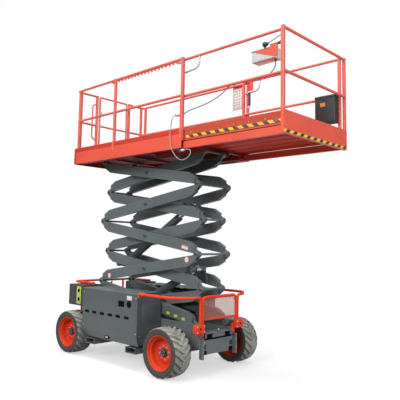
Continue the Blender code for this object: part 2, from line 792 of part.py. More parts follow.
def make_deck_frame():
    top = FLOOR_Z[0] - GAP
    rib_z = (top - RIB_DEPTH, top)
    reach = EXT_HALF - 0.055
    open_half = CHANNEL_WEB_Y[1] - 0.001
    solids = []
    length = DECK_X[1] - DECK_X[0]
    for step in range(DECK_RIBS):
        x = DECK_X[0] + 0.050 + (length - 0.100) * step / (DECK_RIBS - 1)
        rib = (x - 0.020, x + 0.020)
        if rib[1] < CHANNEL_X[0]:
            solids.append(box(rib, (-reach + SINK, reach - SINK), rib_z))
        else:
            solids += [box(rib, sorted((side * open_half, side * (reach - SINK))), rib_z)
                       for name, side in SIDES]
    bores = []
    for name, side in SIDES:
        solids += scissor_channel(side)
        edge = sorted((side * (reach - 0.040), side * reach))
        solids.append(box((DECK_X[0] + 0.030, DECK_X[1] - 0.030), edge, (top - 0.085, top - 0.001)))
        pad = sorted((side * (reach - 0.002), side * (EXT_HALF - EXT_BEAM_WIDTH - GAP)))
        for x in RUNNER_X:
            solids.append(box((x - 0.040, x + 0.040), pad, (DECK_BOTTOM_Z + 0.030, top - 0.020)))
        y = side * OUTER_ARM_Y
        spine = sorted((y - 0.030, y + 0.030))
        solids.append(box((DECK_X[0] + 0.031, REAR_PIN_X + 0.400), spine, (top - 0.009, top - 0.001)))
        ear = half_round(REAR_PIN_X, PLATFORM_PIN_Z, -1)
        ear += [(REAR_PIN_X + LUG_RADIUS, top - 0.004), (REAR_PIN_X - LUG_RADIUS, top - 0.004)]
        solids.append(plate_xz(ear, y - LUG_TONGUE / 2, y + LUG_TONGUE / 2))
        bores.append(bore_across(PIN_RADIUS, REAR_PIN_X, PLATFORM_PIN_Z, y - 0.030, y + 0.030))
    finish("deck_frame", solids, orange(), (REAR_PIN_X, 0, PLATFORM_PIN_Z), bores)


def scissor_channel(side):
    top = FLOOR_Z[0] - GAP
    web = sorted((side * CHANNEL_WEB_Y[0], side * CHANNEL_WEB_Y[1]))
    flange = sorted((side * 0.160, side * (CHANNEL_WEB_Y[1] - 0.001)))
    return [
        box(CHANNEL_X, web, (DECK_BOTTOM_Z + 0.013, top - 0.0003)),
        box((CHANNEL_X[0] + 0.001, CHANNEL_X[1] - 0.001), flange, (top - 0.0045, top - 0.0006)),
    ]


def make_rear_skirt():
    x = (DECK_X[0] + GAP, DECK_X[0] + SHEET)
    inner = DECK_HALF - SHEET - GAP
    low = box(x, (-inner, inner), (DECK_BOTTOM_Z, FLOOR_Z[0] - GAP))
    finish("rear_skirt", [low], orange(), (x[0], 0, DECK_BOTTOM_Z))


def rail_frame(side):
    y = side * RAIL_POST_Y
    rear = DECK_X[0] + TUBE_RADIUS + SHEET
    front = DECK_X[1] - TUBE_RADIUS
    end_y = GATE_FRAME_Y[0] if side < 0 else GATE_FRAME_Y[1]
    floor = FLOOR_Z[1] + GAP
    solids = []
    for z in (MID_RAIL_Z, TOP_RAIL_Z):
        solids.append(tube(rounded([(front, y, z), (rear, y, z), (rear, end_y, z)], 0.050)))
    solids.append(tube([(rear, end_y, floor), (rear, end_y, TOP_RAIL_Z + 0.010)]))
    solids.append(tube([(rear + 0.060, y, floor), (rear + 0.060, y, TOP_RAIL_Z)]))
    solids.append(tube([(rear, y - side * 0.060, floor), (rear, y - side * 0.060, TOP_RAIL_Z)]))
    for x in (-0.260, front):
        solids.append(tube([(x, y, floor), (x, y, TOP_RAIL_Z + 0.010)]))
    return solids, rear, y


def make_rails():
    for name, side in SIDES:
        solids, rear, y = rail_frame(side)
        if side > 0:
            solids += gate_hinge_ears()
        finish("rail_" + name, solids, orange(), (rear, y, FLOOR_Z[1]))


GATE_X = DECK_X[0] + TUBE_RADIUS + SHEET
GATE_AXIS_Y = (GATE_Y[1] + GATE_FRAME_Y[1]) / 2
GATE_HINGES = (3.500, 4.050)


def gate_hinge_ears():
    solids = []
    for z in GATE_HINGES:
        for offset in (-0.034, 0.034):
            solids.append(box((GATE_X - 0.007, GATE_X + 0.007),
                              (GATE_AXIS_Y - 0.006, GATE_FRAME_Y[1] - 0.008),
                              (z + offset - 0.006, z + offset + 0.006)))
        solids.append(cylinder(0.004, (GATE_X, GATE_AXIS_Y, z - 0.036), (GATE_X, GATE_AXIS_Y, z + 0.036), 10))
    return solids


def make_gate():
    low = FLOOR_Z[1] + 0.030
    frame = [
        (GATE_X, GATE_Y[0], low), (GATE_X, GATE_Y[0], TOP_RAIL_Z),
        (GATE_X, GATE_Y[1], TOP_RAIL_Z), (GATE_X, GATE_Y[1], low),
    ]
    solids = [tube(rounded(frame, 0.050), 0.016)]
    solids.append(tube([(GATE_X, GATE_Y[0], MID_RAIL_Z), (GATE_X, GATE_Y[1], MID_RAIL_Z)], 0.016))
    solids.append(box((GATE_X - 0.003, GATE_X + 0.003), (GATE_Y[0], GATE_Y[1]), (low + 0.001, TOE_TOP_Z)))
    bores = []
    for z in GATE_HINGES:
        solids.append(cylinder(0.0085, (GATE_X, GATE_AXIS_Y, z - 0.022), (GATE_X, GATE_AXIS_Y, z + 0.022), 10))
        solids.append(box((GATE_X - 0.005, GATE_X + 0.005), (GATE_Y[1] + 0.010, GATE_AXIS_Y - 0.007),
                          (z - 0.020, z + 0.020)))
        bores.append(bore(0.004, (GATE_X, GATE_AXIS_Y, z - 0.03), (GATE_X, GATE_AXIS_Y, z + 0.03), 10))
    finish("gate", solids, orange(), (GATE_X, GATE_AXIS_Y, low), bores)


def make_extension():
    panel_x = (EXT_FRONT_X - 0.040, EXT_FRONT_X)
    floor = [box((EXT_REAR_X, panel_x[0] - GAP), (-EXT_HALF, EXT_HALF), EXT_FLOOR_Z)]
    for name, side in SIDES:
        toe = sorted((side * (EXT_HALF - SHEET), side * EXT_HALF))
        floor.append(box((EXT_REAR_X + 0.060, panel_x[0] - GAP), toe, (EXT_FLOOR_Z[0] + 0.001, TOE_TOP_Z)))
    finish("extension_deck", floor, orange(), (EXT_REAR_X, 0, EXT_FLOOR_Z[0]))
    frame = [box(panel_x, (-DECK_HALF, DECK_HALF), (DECK_BOTTOM_Z, TOE_TOP_Z))]
    for name, side in SIDES:
        y = sorted((side * (EXT_HALF - EXT_BEAM_WIDTH), side * EXT_HALF))
        frame.append(box((EXT_REAR_X - 0.150, panel_x[0] + SINK), y,
                         (DECK_BOTTOM_Z + 0.001, FLOOR_Z[0] - CLEAR)))
    finish("extension_frame", frame, orange(), (EXT_FRONT_X, 0, DECK_BOTTOM_Z))


def make_extension_rails():
    floor = EXT_FLOOR_Z[1] + GAP
    rear = DECK_X[1] + 0.030
    front = EXT_FRONT_X - 0.040 - TUBE_RADIUS - 0.002
    for name, side in SIDES:
        y = side * EXT_RAIL_Y
        solids = [tube([(rear, y, z), (front, y, z)]) for z in (MID_RAIL_Z, TOP_RAIL_Z)]
        solids += [tube([(x, y, floor), (x, y, TOP_RAIL_Z + 0.010)]) for x in (rear, front)]
        finish("extension_rail_" + name, solids, orange(), (rear, y, floor))
    x = EXT_FRONT_X - TUBE_RADIUS - 0.001
    half = DECK_HALF - TUBE_RADIUS - 0.001
    z = TOE_TOP_Z + GAP
    solids = [tube([(x, -half, height), (x, half, height)]) for height in (MID_RAIL_Z, TOP_RAIL_Z)]
    solids += [tube([(x, side * half, z), (x, side * half, TOP_RAIL_Z + 0.010)]) for name, side in SIDES]
    finish("extension_rail_front", solids, orange(), (x, 0, z))


def make_control_box():
    outer = -(EXT_RAIL_Y - TUBE_RADIUS - GAP)
    back = (outer, outer + 0.006)
    shell = box((2.310, 2.660), (back[1] - SINK, back[1] + 0.150), (3.985, 4.180))
    bevel = shell.modifiers.new("Bevel", "BEVEL")
    bevel.width = 0.010
    bevel.segments = 2
    hanger = box((2.340, 2.630), back, (4.020, TOP_RAIL_Z + TUBE_RADIUS))
    finish("control_box", [as_mesh(shell), hanger], pale(), (2.5, outer, 4.0))


def make_document_box():
    y = EXT_RAIL_Y - TUBE_RADIUS - GAP
    shell = box((2.450, 2.780), (y - 0.110, y), (3.400, 3.790))
    bevel = shell.modifiers.new("Bevel", "BEVEL")
    bevel.width = 0.015
    bevel.segments = 2
    finish("document_box", [as_mesh(shell)], dark(), (2.6, y, 3.4))


def make_sign_board():
    y = RAIL_POST_Y + TUBE_RADIUS + GAP
    board = box((0.898, 1.115), (y, y + 0.003), (3.905, TOP_RAIL_Z + 0.005))
    finish("sign_board", [board], pale(), (1.0, y, 3.905))


def make_all():
    for end, x in (("front", FRONT_AXLE_X), ("rear", REAR_AXLE_X)):
        for name, side in SIDES:
            make_wheel(end + "_" + name, x, side)
    make_rear_axle()
    make_front_axle()
    make_chassis()
    make_front_guard()
    make_guard_mesh()
    make_rear_guard()
    make_ladder()
    for name, x in FORK_POCKETS:
        make_fork_pocket(name, x)
    for name, side in SIDES:
        make_track(name, side)
        make_knuckle(name, side)
        make_rear_cabinet(name, side)
        make_pod(name, side)
        make_hood(name, side)
    low_bracket = (*LOWER_TOP, False, False)
    base_bracket = (*UPPER_BASE, True, True)
    top_bracket = (*UPPER_TOP, False, False)
    brackets = {2: (low_bracket, base_bracket), 4: (top_bracket,)}
    for stage in range(1, STAGES + 1):
        make_arm_pair(stage, True)
        make_arm_pair(stage, False, brackets.get(stage, ()))
    second = arm_frame(2, False)
    fourth = arm_frame(4, False)
    make_cylinder("lower_cylinder", LOWER_BASE, second(on_pin_line(*LOWER_TOP)), LOWER_SHORTEST)
    make_cylinder("upper_cylinder", second(on_pin_line(*UPPER_BASE, True)),
                  fourth(on_pin_line(*UPPER_TOP)), UPPER_SHORTEST)
    make_deck()
    make_rails()
    make_gate()
    make_extension()
    make_extension_rails()
    make_control_box()
    make_document_box()
    make_sign_board()


make_all()
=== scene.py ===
import math
import bmesh
import bpy
import numpy as np
from mathutils import Matrix, Vector


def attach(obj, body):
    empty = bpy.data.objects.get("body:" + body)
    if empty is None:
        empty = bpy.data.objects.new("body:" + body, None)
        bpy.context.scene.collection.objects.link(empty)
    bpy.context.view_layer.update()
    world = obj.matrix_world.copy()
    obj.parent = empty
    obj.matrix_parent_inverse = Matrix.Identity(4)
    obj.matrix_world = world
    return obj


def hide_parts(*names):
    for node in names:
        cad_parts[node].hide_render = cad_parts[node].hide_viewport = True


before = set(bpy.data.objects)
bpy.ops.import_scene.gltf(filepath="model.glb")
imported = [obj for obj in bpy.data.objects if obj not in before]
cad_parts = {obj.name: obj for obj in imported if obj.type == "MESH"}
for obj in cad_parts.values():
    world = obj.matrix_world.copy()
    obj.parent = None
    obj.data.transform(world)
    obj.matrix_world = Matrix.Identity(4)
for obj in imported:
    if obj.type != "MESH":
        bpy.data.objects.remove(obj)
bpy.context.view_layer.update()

# places below are measured from the middle of the wheelbase, this far from the part's zero
wheelbaseZero = -0.6735
world = np.array([wheelbaseZero, 0.0, 0.0])
fullTurn = 2 * math.pi
bothSides = (("right", -1), ("left", 1))


# a stretch round a middle: the middle less the half, and plus the half
def around(middle, half):
    return middle - half, middle + half


# camera and light

photoView = {
    "place": (6.0647, -5.6492, 1.7898), "lens": 46.72, "sensor": 36.0, "shift": (0.0365, -0.0251),
    "right": (0.71932, 0.69442, 0.01901), "up": (0.05533, -0.08454, 0.99488),
    "forward": (-0.69248, 0.71458, 0.09923),
}


# the camera's own axes are the photo's right and up and the way back from the view
def makeCamera():
    data = bpy.data.cameras.new("camera")
    data.lens, data.sensor_width = photoView["lens"], photoView["sensor"]
    data.shift_x, data.shift_y = photoView["shift"]
    camera = bpy.data.objects.new("camera", data)
    back = [-v for v in photoView["forward"]]
    turn = Matrix([photoView["right"], photoView["up"], back]).transposed().to_4x4()
    camera.matrix_world = Matrix.Translation(Vector(photoView["place"]) + Vector(world)) @ turn
    bpy.context.scene.collection.objects.link(camera)
    bpy.context.scene.camera = camera


# a round area lamp whose face looks at its aim
def makeLamp(name, place, aim, size, power):
    data = bpy.data.lights.new(name, "AREA")
    data.shape, data.size, data.energy = "DISK", size, power
    lamp = bpy.data.objects.new(name, data)
    lamp.location = place
    lamp.rotation_mode = "QUATERNION"
    lamp.rotation_quaternion = (Vector(aim) - Vector(place)).to_track_quat("-Z", "Y")
    bpy.context.scene.collection.objects.link(lamp)


# forms: surfaces worked out as whole arrays, then merged into one mesh a piece

# a rectangle's corners: the signs of each, and the unit quarter circle round it
def roundCorners(steps=3):
    turn = np.linspace(0, math.pi / 2, steps + 1)
    angle = np.concatenate([turn + k * math.pi / 2 for k in range(4)])
    sign = np.repeat([[1, 1], [-1, 1], [-1, -1], [1, -1]], steps + 1, 0)
    return sign, np.stack([np.cos(angle), np.sin(angle)], -1)


# a square outline: each corner's sign times the flat half width, plus a small quarter circle
def squareTube(half, corner=0.006, steps=3):
    sign, arc = roundCorners(steps)
    return sign * (half - corner) + corner * arc


# a round outline: the radius times the cosine and the sine of even angles
def disc(radius, sides):
    angle = np.linspace(0, fullTurn, sides, endpoint=False)
    return np.stack([radius * np.cos(angle), radius * np.sin(angle)], -1)


class Form:
    def __init__(self):
        self.points, self.faces, self.slots, self.count = [], [], [], 0

    # a sheet of closed rows: point (i, j) joins to its neighbours, and the first and last rows meet or have
    # caps; the slot is one number, or one for each place in a row
    def rows(self, grid, slot=0, loop=False):
        n, m = grid.shape[:2]
        i, j = np.arange(n if loop else n - 1)[:, None], np.arange(m)[None, :]
        after, beside = (i + 1) % n, (j + 1) % m
        quads = np.stack([i * m + j, i * m + beside, after * m + beside, after * m + j], -1)
        caps = [] if loop else [np.arange(m)[::-1], np.arange(m) + (n - 1) * m]
        self.faces += (quads.reshape(-1, 4) + self.count).tolist()
        self.faces += [(cap + self.count).tolist() for cap in caps]
        self.slots += np.broadcast_to(slot, quads.shape[:2]).ravel().tolist()
        self.slots += [slot] * len(caps)
        self.points.append(np.asarray(grid, float).reshape(-1, 3))
        self.count += n * m

    # a closed outline carried along a path, kept square to it; each corner of the path mitres
    def sweep(self, path, outline, slot=0, loop=False, up=(0, 0, 1)):
        path, outline = np.asarray(path, float), np.asarray(outline, float)
        onward = path[-1:] * 2 - path[-2:-1]
        ahead = np.roll(path, -1, 0) - path if loop else np.diff(path, axis=0, append=onward)
        ahead /= np.linalg.norm(ahead, axis=1)[:, None]
        behind = np.roll(ahead, 1, 0) if loop else np.vstack([ahead[:1], ahead[:-1]])
        mean = ahead + behind
        mean /= np.linalg.norm(mean, axis=1)[:, None]
        stretch = 1 / np.clip((mean * behind).sum(1), 0.4, 1)
        side = np.cross(np.asarray(up, float), mean)
        weak = np.linalg.norm(side, axis=1) < 0.15
        side[weak] = np.cross([0.0, 1.0, 0.0], mean[weak])
        for k in range(1, len(side)):  # carry the frame smoothly from point to point
            carried = side[k - 1] - mean[k] * (side[k - 1] @ mean[k])
            if np.linalg.norm(carried) > 0.2:
                side[k] = carried
        side /= np.linalg.norm(side, axis=1)[:, None]
        rise = np.cross(mean, side)
        bend = ahead - behind
        size = np.linalg.norm(bend, axis=1)
        bend[size > 1e-6] /= size[size > 1e-6][:, None]
        ring = side[:, None] * outline[:, :1] + rise[:, None] * outline[:, 1:]
        ring += bend[:, None] * ((ring * bend[:, None]).sum(-1) * (stretch - 1)[:, None])[..., None]
        self.rows(path[:, None] + ring, slot, loop)

    # a round outline carried along a path
    def pipe(self, path, radius, slot=0, sides=20):
        self.sweep(path, disc(radius, sides), slot)

    # a profile of (radius, height) pairs turned about an axis through the centre
    def turn(self, profile, centre, axis="y", sides=48, slot=0, way=1):
        profile = np.asarray(profile, float)
        angle = np.linspace(0, fullTurn, sides, endpoint=False)
        r, h = profile[:, :1], profile[:, 1:] * way
        first, second, third = r * np.cos(angle), r * np.sin(angle), h + 0 * angle
        order = {"x": (third, first, second), "y": (first, third, second), "z": (first, second, third)}[axis]
        self.rows(np.stack(order, -1) + np.asarray(centre, float), slot)

    # a block with rounded edges: rounded rings stacked from bottom to top, drawn in by 1 less the sine
    def block(self, x, y, z, edge=0.004, slot=0, steps=3):
        x, y, z = sorted(x), sorted(y), sorted(z)
        edge = min(edge, *[(pair[1] - pair[0]) * 0.49 for pair in (x, y, z)])
        turn = np.linspace(0, math.pi / 2, steps + 1)
        drawn, lift = edge * (1 - np.sin(turn)), edge * (1 - np.cos(turn))
        inset = np.concatenate([drawn, drawn[::-1]])
        level = np.concatenate([z[0] + lift, (z[1] - lift)[::-1]])
        half = np.array([(x[1] - x[0]) / 2 - edge, (y[1] - y[0]) / 2 - edge])
        sign, arc = roundCorners(steps)
        reach = (edge - inset)[:, None, None] * arc + sign * half
        flat = reach + [sum(x) / 2, sum(y) / 2]
        self.rows(np.concatenate([flat, level[:, None, None] + 0 * flat[..., :1]], -1), slot)

    # a flat outline in X and Z given thickness across Y, or in Y and Z given thickness along X
    def plate(self, outline, low, high, across="y", slot=0, edge=0.0):
        outline = np.asarray(outline, float)
        centre = outline.mean(0)
        reach = outline - centre
        long = np.linalg.norm(reach, axis=1)[:, None]
        full = [(low + edge, 0), (high - edge, 0)]
        rings = []
        for level, pull in [(low, edge)] + full + [(high, edge)] if edge else full:
            flat = centre + reach * (1 - pull / long)
            rest = np.full((len(flat), 1), level)
            rings.append(np.hstack((flat[:, :1], rest, flat[:, 1:]) if across == "y" else (rest, flat)))
        self.rows(np.stack(rings), slot)

    # a folded sheet: an outline in Y and Z repeated at stations along X
    def fold(self, outline, side, stations, slot=0):
        y, z = np.array(outline).T
        self.rows(np.stack([np.stack([0 * y + x, side * y, z], -1) for x in stations]), slot)

    # small hexagon or round heads at many places, all facing one way
    def heads(self, places, facing, radius=0.009, height=0.007, sides=6, slot=0):
        facing = np.asarray(facing, float) / np.linalg.norm(facing)
        side = np.cross(facing, [0.3, 0.5, 0.8])
        side /= np.linalg.norm(side)
        rise = np.cross(facing, side)
        across, along = disc(1.0, sides).T
        ring = across[:, None] * side + along[:, None] * rise
        head = np.stack([ring * radius - facing * 0.001, ring * radius + facing * height * 0.7,
                         ring * radius * 0.8 + facing * height])
        for place in places:
            self.rows(head + np.asarray(place, float), slot)


# a path whose corners are rounded by short curves
def bent(points, bend=0.06, steps=7):
    points = np.asarray(points, float)
    line = [points[:1]]
    t = np.linspace(0, 1, steps)[:, None]
    for before, corner, after in zip(points, points[1:], points[2:]):
        start = corner + (before - corner) / np.linalg.norm(before - corner) * bend
        end = corner + (after - corner) / np.linalg.norm(after - corner) * bend
        line.append(start * (1 - t) ** 2 + corner * 2 * t * (1 - t) + end * t ** 2)
    return np.vstack(line + [points[-1:]])


# a smooth curve through its points: a cubic between each two, then places at equal runs along it
def through(points, count):
    points = np.asarray(points, float)
    padded = np.vstack([points[0] * 2 - points[1], points, points[-1] * 2 - points[-2]])
    t = np.linspace(0, 1, 24, endpoint=False)[:, None]
    dense = []
    for a, b, c, d in zip(padded, padded[1:], padded[2:], padded[3:]):
        square, cube = (2 * a - 5 * b + 4 * c - d) * t ** 2, (3 * b - a - 3 * c + d) * t ** 3
        dense.append(0.5 * (2 * b + (c - a) * t + square + cube))
    dense = np.vstack(dense + [points[-1:]])
    run = np.concatenate([[0], np.cumsum(np.linalg.norm(np.diff(dense, axis=0), axis=1))])
    even = np.linspace(0, run[-1], count)
    return np.stack([np.interp(even, run, dense[:, k]) for k in range(3)], -1)


# the finish names the looks of the piece's material slots in order
def makePiece(name, form, finish, body, stands=None, smooth=35, flat=False):
    mesh = bpy.data.meshes.new(name)
    mesh.from_pydata((np.vstack(form.points) + world).tolist(), [], form.faces)
    mesh.polygons.foreach_set("material_index", np.array(form.slots, np.int32))
    work = bmesh.new()
    work.from_mesh(mesh)
    bmesh.ops.remove_doubles(work, verts=work.verts, dist=0.00002)
    bmesh.ops.recalc_face_normals(work, faces=work.faces)
    work.to_mesh(mesh)
    work.free()
    for look in finish.split():
        mesh.materials.append(looks[look])
    if not flat:
        mesh.shade_smooth()
        mesh.set_sharp_from_angle(angle=math.radians(smooth))
    piece = bpy.data.objects.new(name, mesh)
    bpy.context.scene.collection.objects.link(piece)
    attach(piece, body)
    if stands:
        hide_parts(stands)
    return piece


# shader maths: a value in a material that sums, multiplies and compares as numbers do

class Value:
    def __init__(self, nodes, link):
        self.nodes, self.link = nodes, link

    def sum(self, operation, other=0.0, swapped=False, clamp=False):
        pair = {0: other, 1: self} if swapped else {0: self, 1: other}
        return self.nodes.node("ShaderNodeMath", {"operation": operation, "use_clamp": clamp}, pair)

    def __add__(self, other): return self.sum("ADD", other)
    def __radd__(self, other): return self.sum("ADD", other, True)
    def __sub__(self, other): return self.sum("SUBTRACT", other)
    def __rsub__(self, other): return self.sum("SUBTRACT", other, True)
    def __mul__(self, other): return self.sum("MULTIPLY", other)
    def __truediv__(self, other): return self.sum("DIVIDE", other)
    def __gt__(self, other): return self.sum("GREATER_THAN", other)
    def __lt__(self, other): return self.sum("LESS_THAN", other)
    def __mod__(self, other): return self.sum("MODULO", other)
    def __abs__(self): return self.sum("ABSOLUTE")
    def clamped(self): return self.sum("ADD", 0.0, clamp=True)


class Nodes:
    def __init__(self, owner):
        owner.use_nodes = True
        self.tree = owner.node_tree

    # one node with its settings; each socket holds a number or takes a link, and one output comes back
    def node(self, kind, settings, sockets, out=0):
        made = self.tree.nodes.new(kind)
        for name, value in settings.items():
            if name == "stops":
                for element, (at, colour) in zip(made.color_ramp.elements, value):
                    element.position, element.color = at, (*colour, 1)
            else:
                setattr(made, name, value)
        for name, value in sockets.items():
            self.give(made.inputs[name], value)
        return Value(self, made.outputs[out])

    # a socket takes a link from a value, and holds anything else itself
    def give(self, socket, value):
        if isinstance(value, Value):
            self.tree.links.new(value.link, socket)
        else:
            socket.default_value = value

    # 1 for a ray of either kind, 0 for others
    def rays(self, *kinds):
        first, second = [self.node("ShaderNodeLightPath", {}, {}, "Is %s Ray" % kind) for kind in kinds]
        return (first + second).clamped()

    # one of a vector's three parts
    def part(self, vector, axis):
        return self.node("ShaderNodeSeparateXYZ", {}, {0: vector}, axis.upper())

    # 0 at low, 1 at high, straight between
    def step(self, value, low, high):
        limits = {"Value": value, "From Min": low, "From Max": high, "To Min": 0.0, "To Max": 1.0}
        return self.node("ShaderNodeMapRange", {"clamp": True}, limits)

    # the first colour at share 0, the second at share 1
    def mix(self, share, first, second):
        first, second = [c if isinstance(c, Value) else (*c, 1) for c in (first, second)]
        return self.node("ShaderNodeMix", {"data_type": "RGBA"}, {0: share, 6: first, 7: second}, 2)


class Look(Nodes):
    def __init__(self, name, roughness=0.5, metallic=0.0, **plain):
        self.material = bpy.data.materials.new(name)
        super().__init__(self.material)
        self.shader = self.tree.nodes["Principled BSDF"]
        self.set("Roughness", roughness)
        self.set("Metallic", metallic)
        for label, value in plain.items():
            self.set(label.replace("_", " "), value)
        self.place = self.node("ShaderNodeTexCoord", {}, {}, "Object")

    def set(self, label, value):
        self.give(self.shader.inputs[label], value)

    # cloudy numbers round 0.5, fixed to the object
    def noise(self, scale, detail, roughness=0.55):
        sockets = {"Vector": self.place, "Scale": scale, "Detail": detail, "Roughness": roughness}
        return self.node("ShaderNodeTexNoise", {}, sockets, "Fac")

    # how far the surface faces along an axis, from -1 to 1
    def facing(self, axis):
        return self.part(self.node("ShaderNodeNewGeometry", {}, {}, "Normal"), axis)

    # the normal softened within a radius of each edge
    def edges(self, radius):
        return self.node("ShaderNodeBevel", {"samples": 6}, {"Radius": radius})

    def bump(self, height, strength, distance, **normal):
        sockets = {"Height": height, "Strength": strength, "Distance": distance, **normal}
        self.set("Normal", self.node("ShaderNodeBump", {}, sockets))


# a colour made darker or lighter: each part times a number, and at most 1
def scaled(colour, by):
    return tuple(min(1.0, v * by) for v in colour)


# sprayed steel: a tone that drifts over a metre, fine speckle, dust on top and low down, worn edges, and
# where asked a painted highlight along the edges; dust on top faces, turned up, also paints the light falling
# on them
def sprayed(name, colour, worn=(0.30, 0.26, 0.23), dust=(0.36, 0.33, 0.28), gloss=0.38, dusty=0.35,
            dustTop=1.2, wear=0.5, rounding=0.004, drift=0.12, over=None, edgeHighlight=0.0, **plain):
    look = Look(name, **plain)
    large, small, fine = look.noise(1.7, 4), look.noise(22.0, 4), look.noise(260.0, 2)
    base = look.mix(look.step(large, 0.35, 0.65), scaled(colour, 1 - drift), scaled(colour, 1 + drift * 0.7))
    base = look.mix(look.step(small, 0.45, 0.75) * 0.18, base, scaled(colour, 0.72))
    soft = look.edges(rounding)
    hard = look.node("ShaderNodeNewGeometry", {}, {}, "Normal")
    bentAway = look.node("ShaderNodeVectorMath", {"operation": "DOT_PRODUCT"}, {0: soft, 1: hard}, "Value")
    edge = look.step(1.0 - bentAway, 0.02, 0.16) * look.step(look.noise(48.0, 5, 0.7), 0.5, 0.62) * wear
    if edgeHighlight:  # painted highlight: the colour is lighter where an edge turns
        base = look.mix(look.step(1.0 - bentAway, 0.01, 0.10) * edgeHighlight, base, scaled(colour, 2.2))
    base = look.mix(edge, base, worn)
    base = over(look, base) if over else base
    # faces that look up gather dust; turned up, this also paints the light falling on top faces
    topDustAndLight = look.step(look.facing("z"), 0.55, 1.0) * look.step(look.noise(6.0, 5), 0.35, 0.7)
    height = look.part(look.place, "z")
    low = look.step(height, dustTop, 0.1) * look.step(look.noise(9.0, 6, 0.65), 0.42, 0.72)
    dustAndTopLightMask = ((topDustAndLight + low) * dusty).clamped()
    look.set("Base Color", look.mix(dustAndTopLightMask, base, dust))
    rough = gloss + look.step(small, 0.3, 0.8) * 0.14 + dustAndTopLightMask * 0.3 + edge * 0.15
    look.set("Roughness", rough.clamped())
    look.bump(fine * 0.5 + small * 0.5, 0.10, 0.0012, Normal=soft)
    return look.material


# moulded plastic or rubber: one slow tone and a fine grain
def moulded(name, colour, roughness, **plain):
    look = Look(name, **plain)
    tone = look.step(look.noise(5.0, 4), 0.3, 0.7)
    look.set("Base Color", look.mix(tone, scaled(colour, 0.9), scaled(colour, 1.1)))
    look.set("Roughness", roughness + tone * 0.1)
    look.bump(look.noise(420.0, 2), 0.12, 0.001, Normal=look.edges(0.004))
    return look.material


# plated metal: tone and roughness drift together
def plated(name, colour, roughness):
    look = Look(name, metallic=0.95)
    tone = look.noise(30.0, 4, 0.6)
    look.set("Base Color", look.mix(look.step(tone, 0.3, 0.7), scaled(colour, 0.78), colour))
    look.set("Roughness", roughness + look.step(tone, 0.35, 0.8) * 0.16)
    look.bump(look.noise(180.0, 3, 0.6), 0.06, 0.0006)
    return look.material


# tread and sidewall of a worked tyre: black rubber, with dry pale dust on the lugs and in the grooves
def tyreRubber(name, colour, dust, amount):
    look = Look(name)
    patch, fine = look.noise(7.0, 6, 0.62), look.noise(90.0, 4)
    cover = (look.step(patch, 0.30, 0.72) * amount + look.step(fine, 0.45, 0.7) * amount * 0.35).clamped()
    look.set("Base Color", look.mix(cover, colour, dust))
    look.set("Roughness", 0.62 + cover * 0.3)
    look.bump(fine + patch * 0.6, 0.35, 0.002)
    return look.material


stripes = {"pitch": 0.15, "first": (0.80, 0.50, 0.03), "second": (0.03, 0.03, 0.03), "panel": (3.050, 3.088)}


# slanted bands of two colours: the place along X or Y plus a share of the height, wrapped at an even pitch
def bands(look, along, slope):
    run = look.part(look.place, along) + look.part(look.place, "z") * slope + 40.0
    share = look.step((run / stripes["pitch"]) % 1.0, 0.49, 0.51)
    return look.mix(share, stripes["first"], stripes["second"])


# the bands laid over the front panel's paint, between two heights on the face that looks ahead
def bandsAhead(look, base):
    height = look.part(look.place, "z")
    low, high = stripes["panel"]
    share = look.step(look.facing("x"), 0.85, 0.95) * (height > low) * (height < high)
    return look.mix(share, base, bands(look, "y", -1.1))


# the bands on their own, dulled by patches of dirt
def hazard(name, along, slope):
    look = Look(name, 0.42)
    dirt = look.step(look.noise(14.0, 5), 0.45, 0.75) * 0.35
    look.set("Base Color", look.mix(dirt, bands(look, along, slope), (0.30, 0.24, 0.16)))
    look.bump(look.noise(200.0, 2), 0.05, 0.0006)
    return look.material


# a deck sheet: one paint above, another below, where folds along X are soft dark lines of painted shade at an
# even pitch
def deckSheet(name, above, below, fold, pitch):
    look = Look(name, 0.6, Specular_IOR_Level=0.12)
    away = abs((look.part(look.place, "y") / pitch + 40.0) % 1.0 - 0.5)
    grooveAndShade = look.step(away, 0.13, 0.03)
    tone = look.step(look.noise(3.0, 5), 0.35, 0.7)
    # under the sheet, each groove is darkened towards the fold colour: painted shade
    shadedUnderside = look.mix(grooveAndShade * 0.85, look.mix(tone * 0.45, below, scaled(below, 0.5)), fold)
    look.set("Base Color", look.mix(look.step(look.facing("z"), -0.3, -0.7), above, shadedUnderside))
    look.bump(grooveAndShade + look.noise(160.0, 2) * 0.1, 0.4, 0.006)
    return look.material


# a blank printed plate: a pale field, and a coloured band above a height
def blankLabel(name, field, band=None, height=0.0):
    look = Look(name, 0.4)
    base = look.mix(look.step(look.noise(18.0, 4), 0.3, 0.7) * 0.25, field, scaled(field, 0.8))
    if band:
        base = look.mix(look.step(look.part(look.place, "z"), *around(height, 0.002)), base, band)
    look.set("Base Color", base)
    look.bump(look.noise(300.0, 2), 0.05, 0.0005)
    return look.material


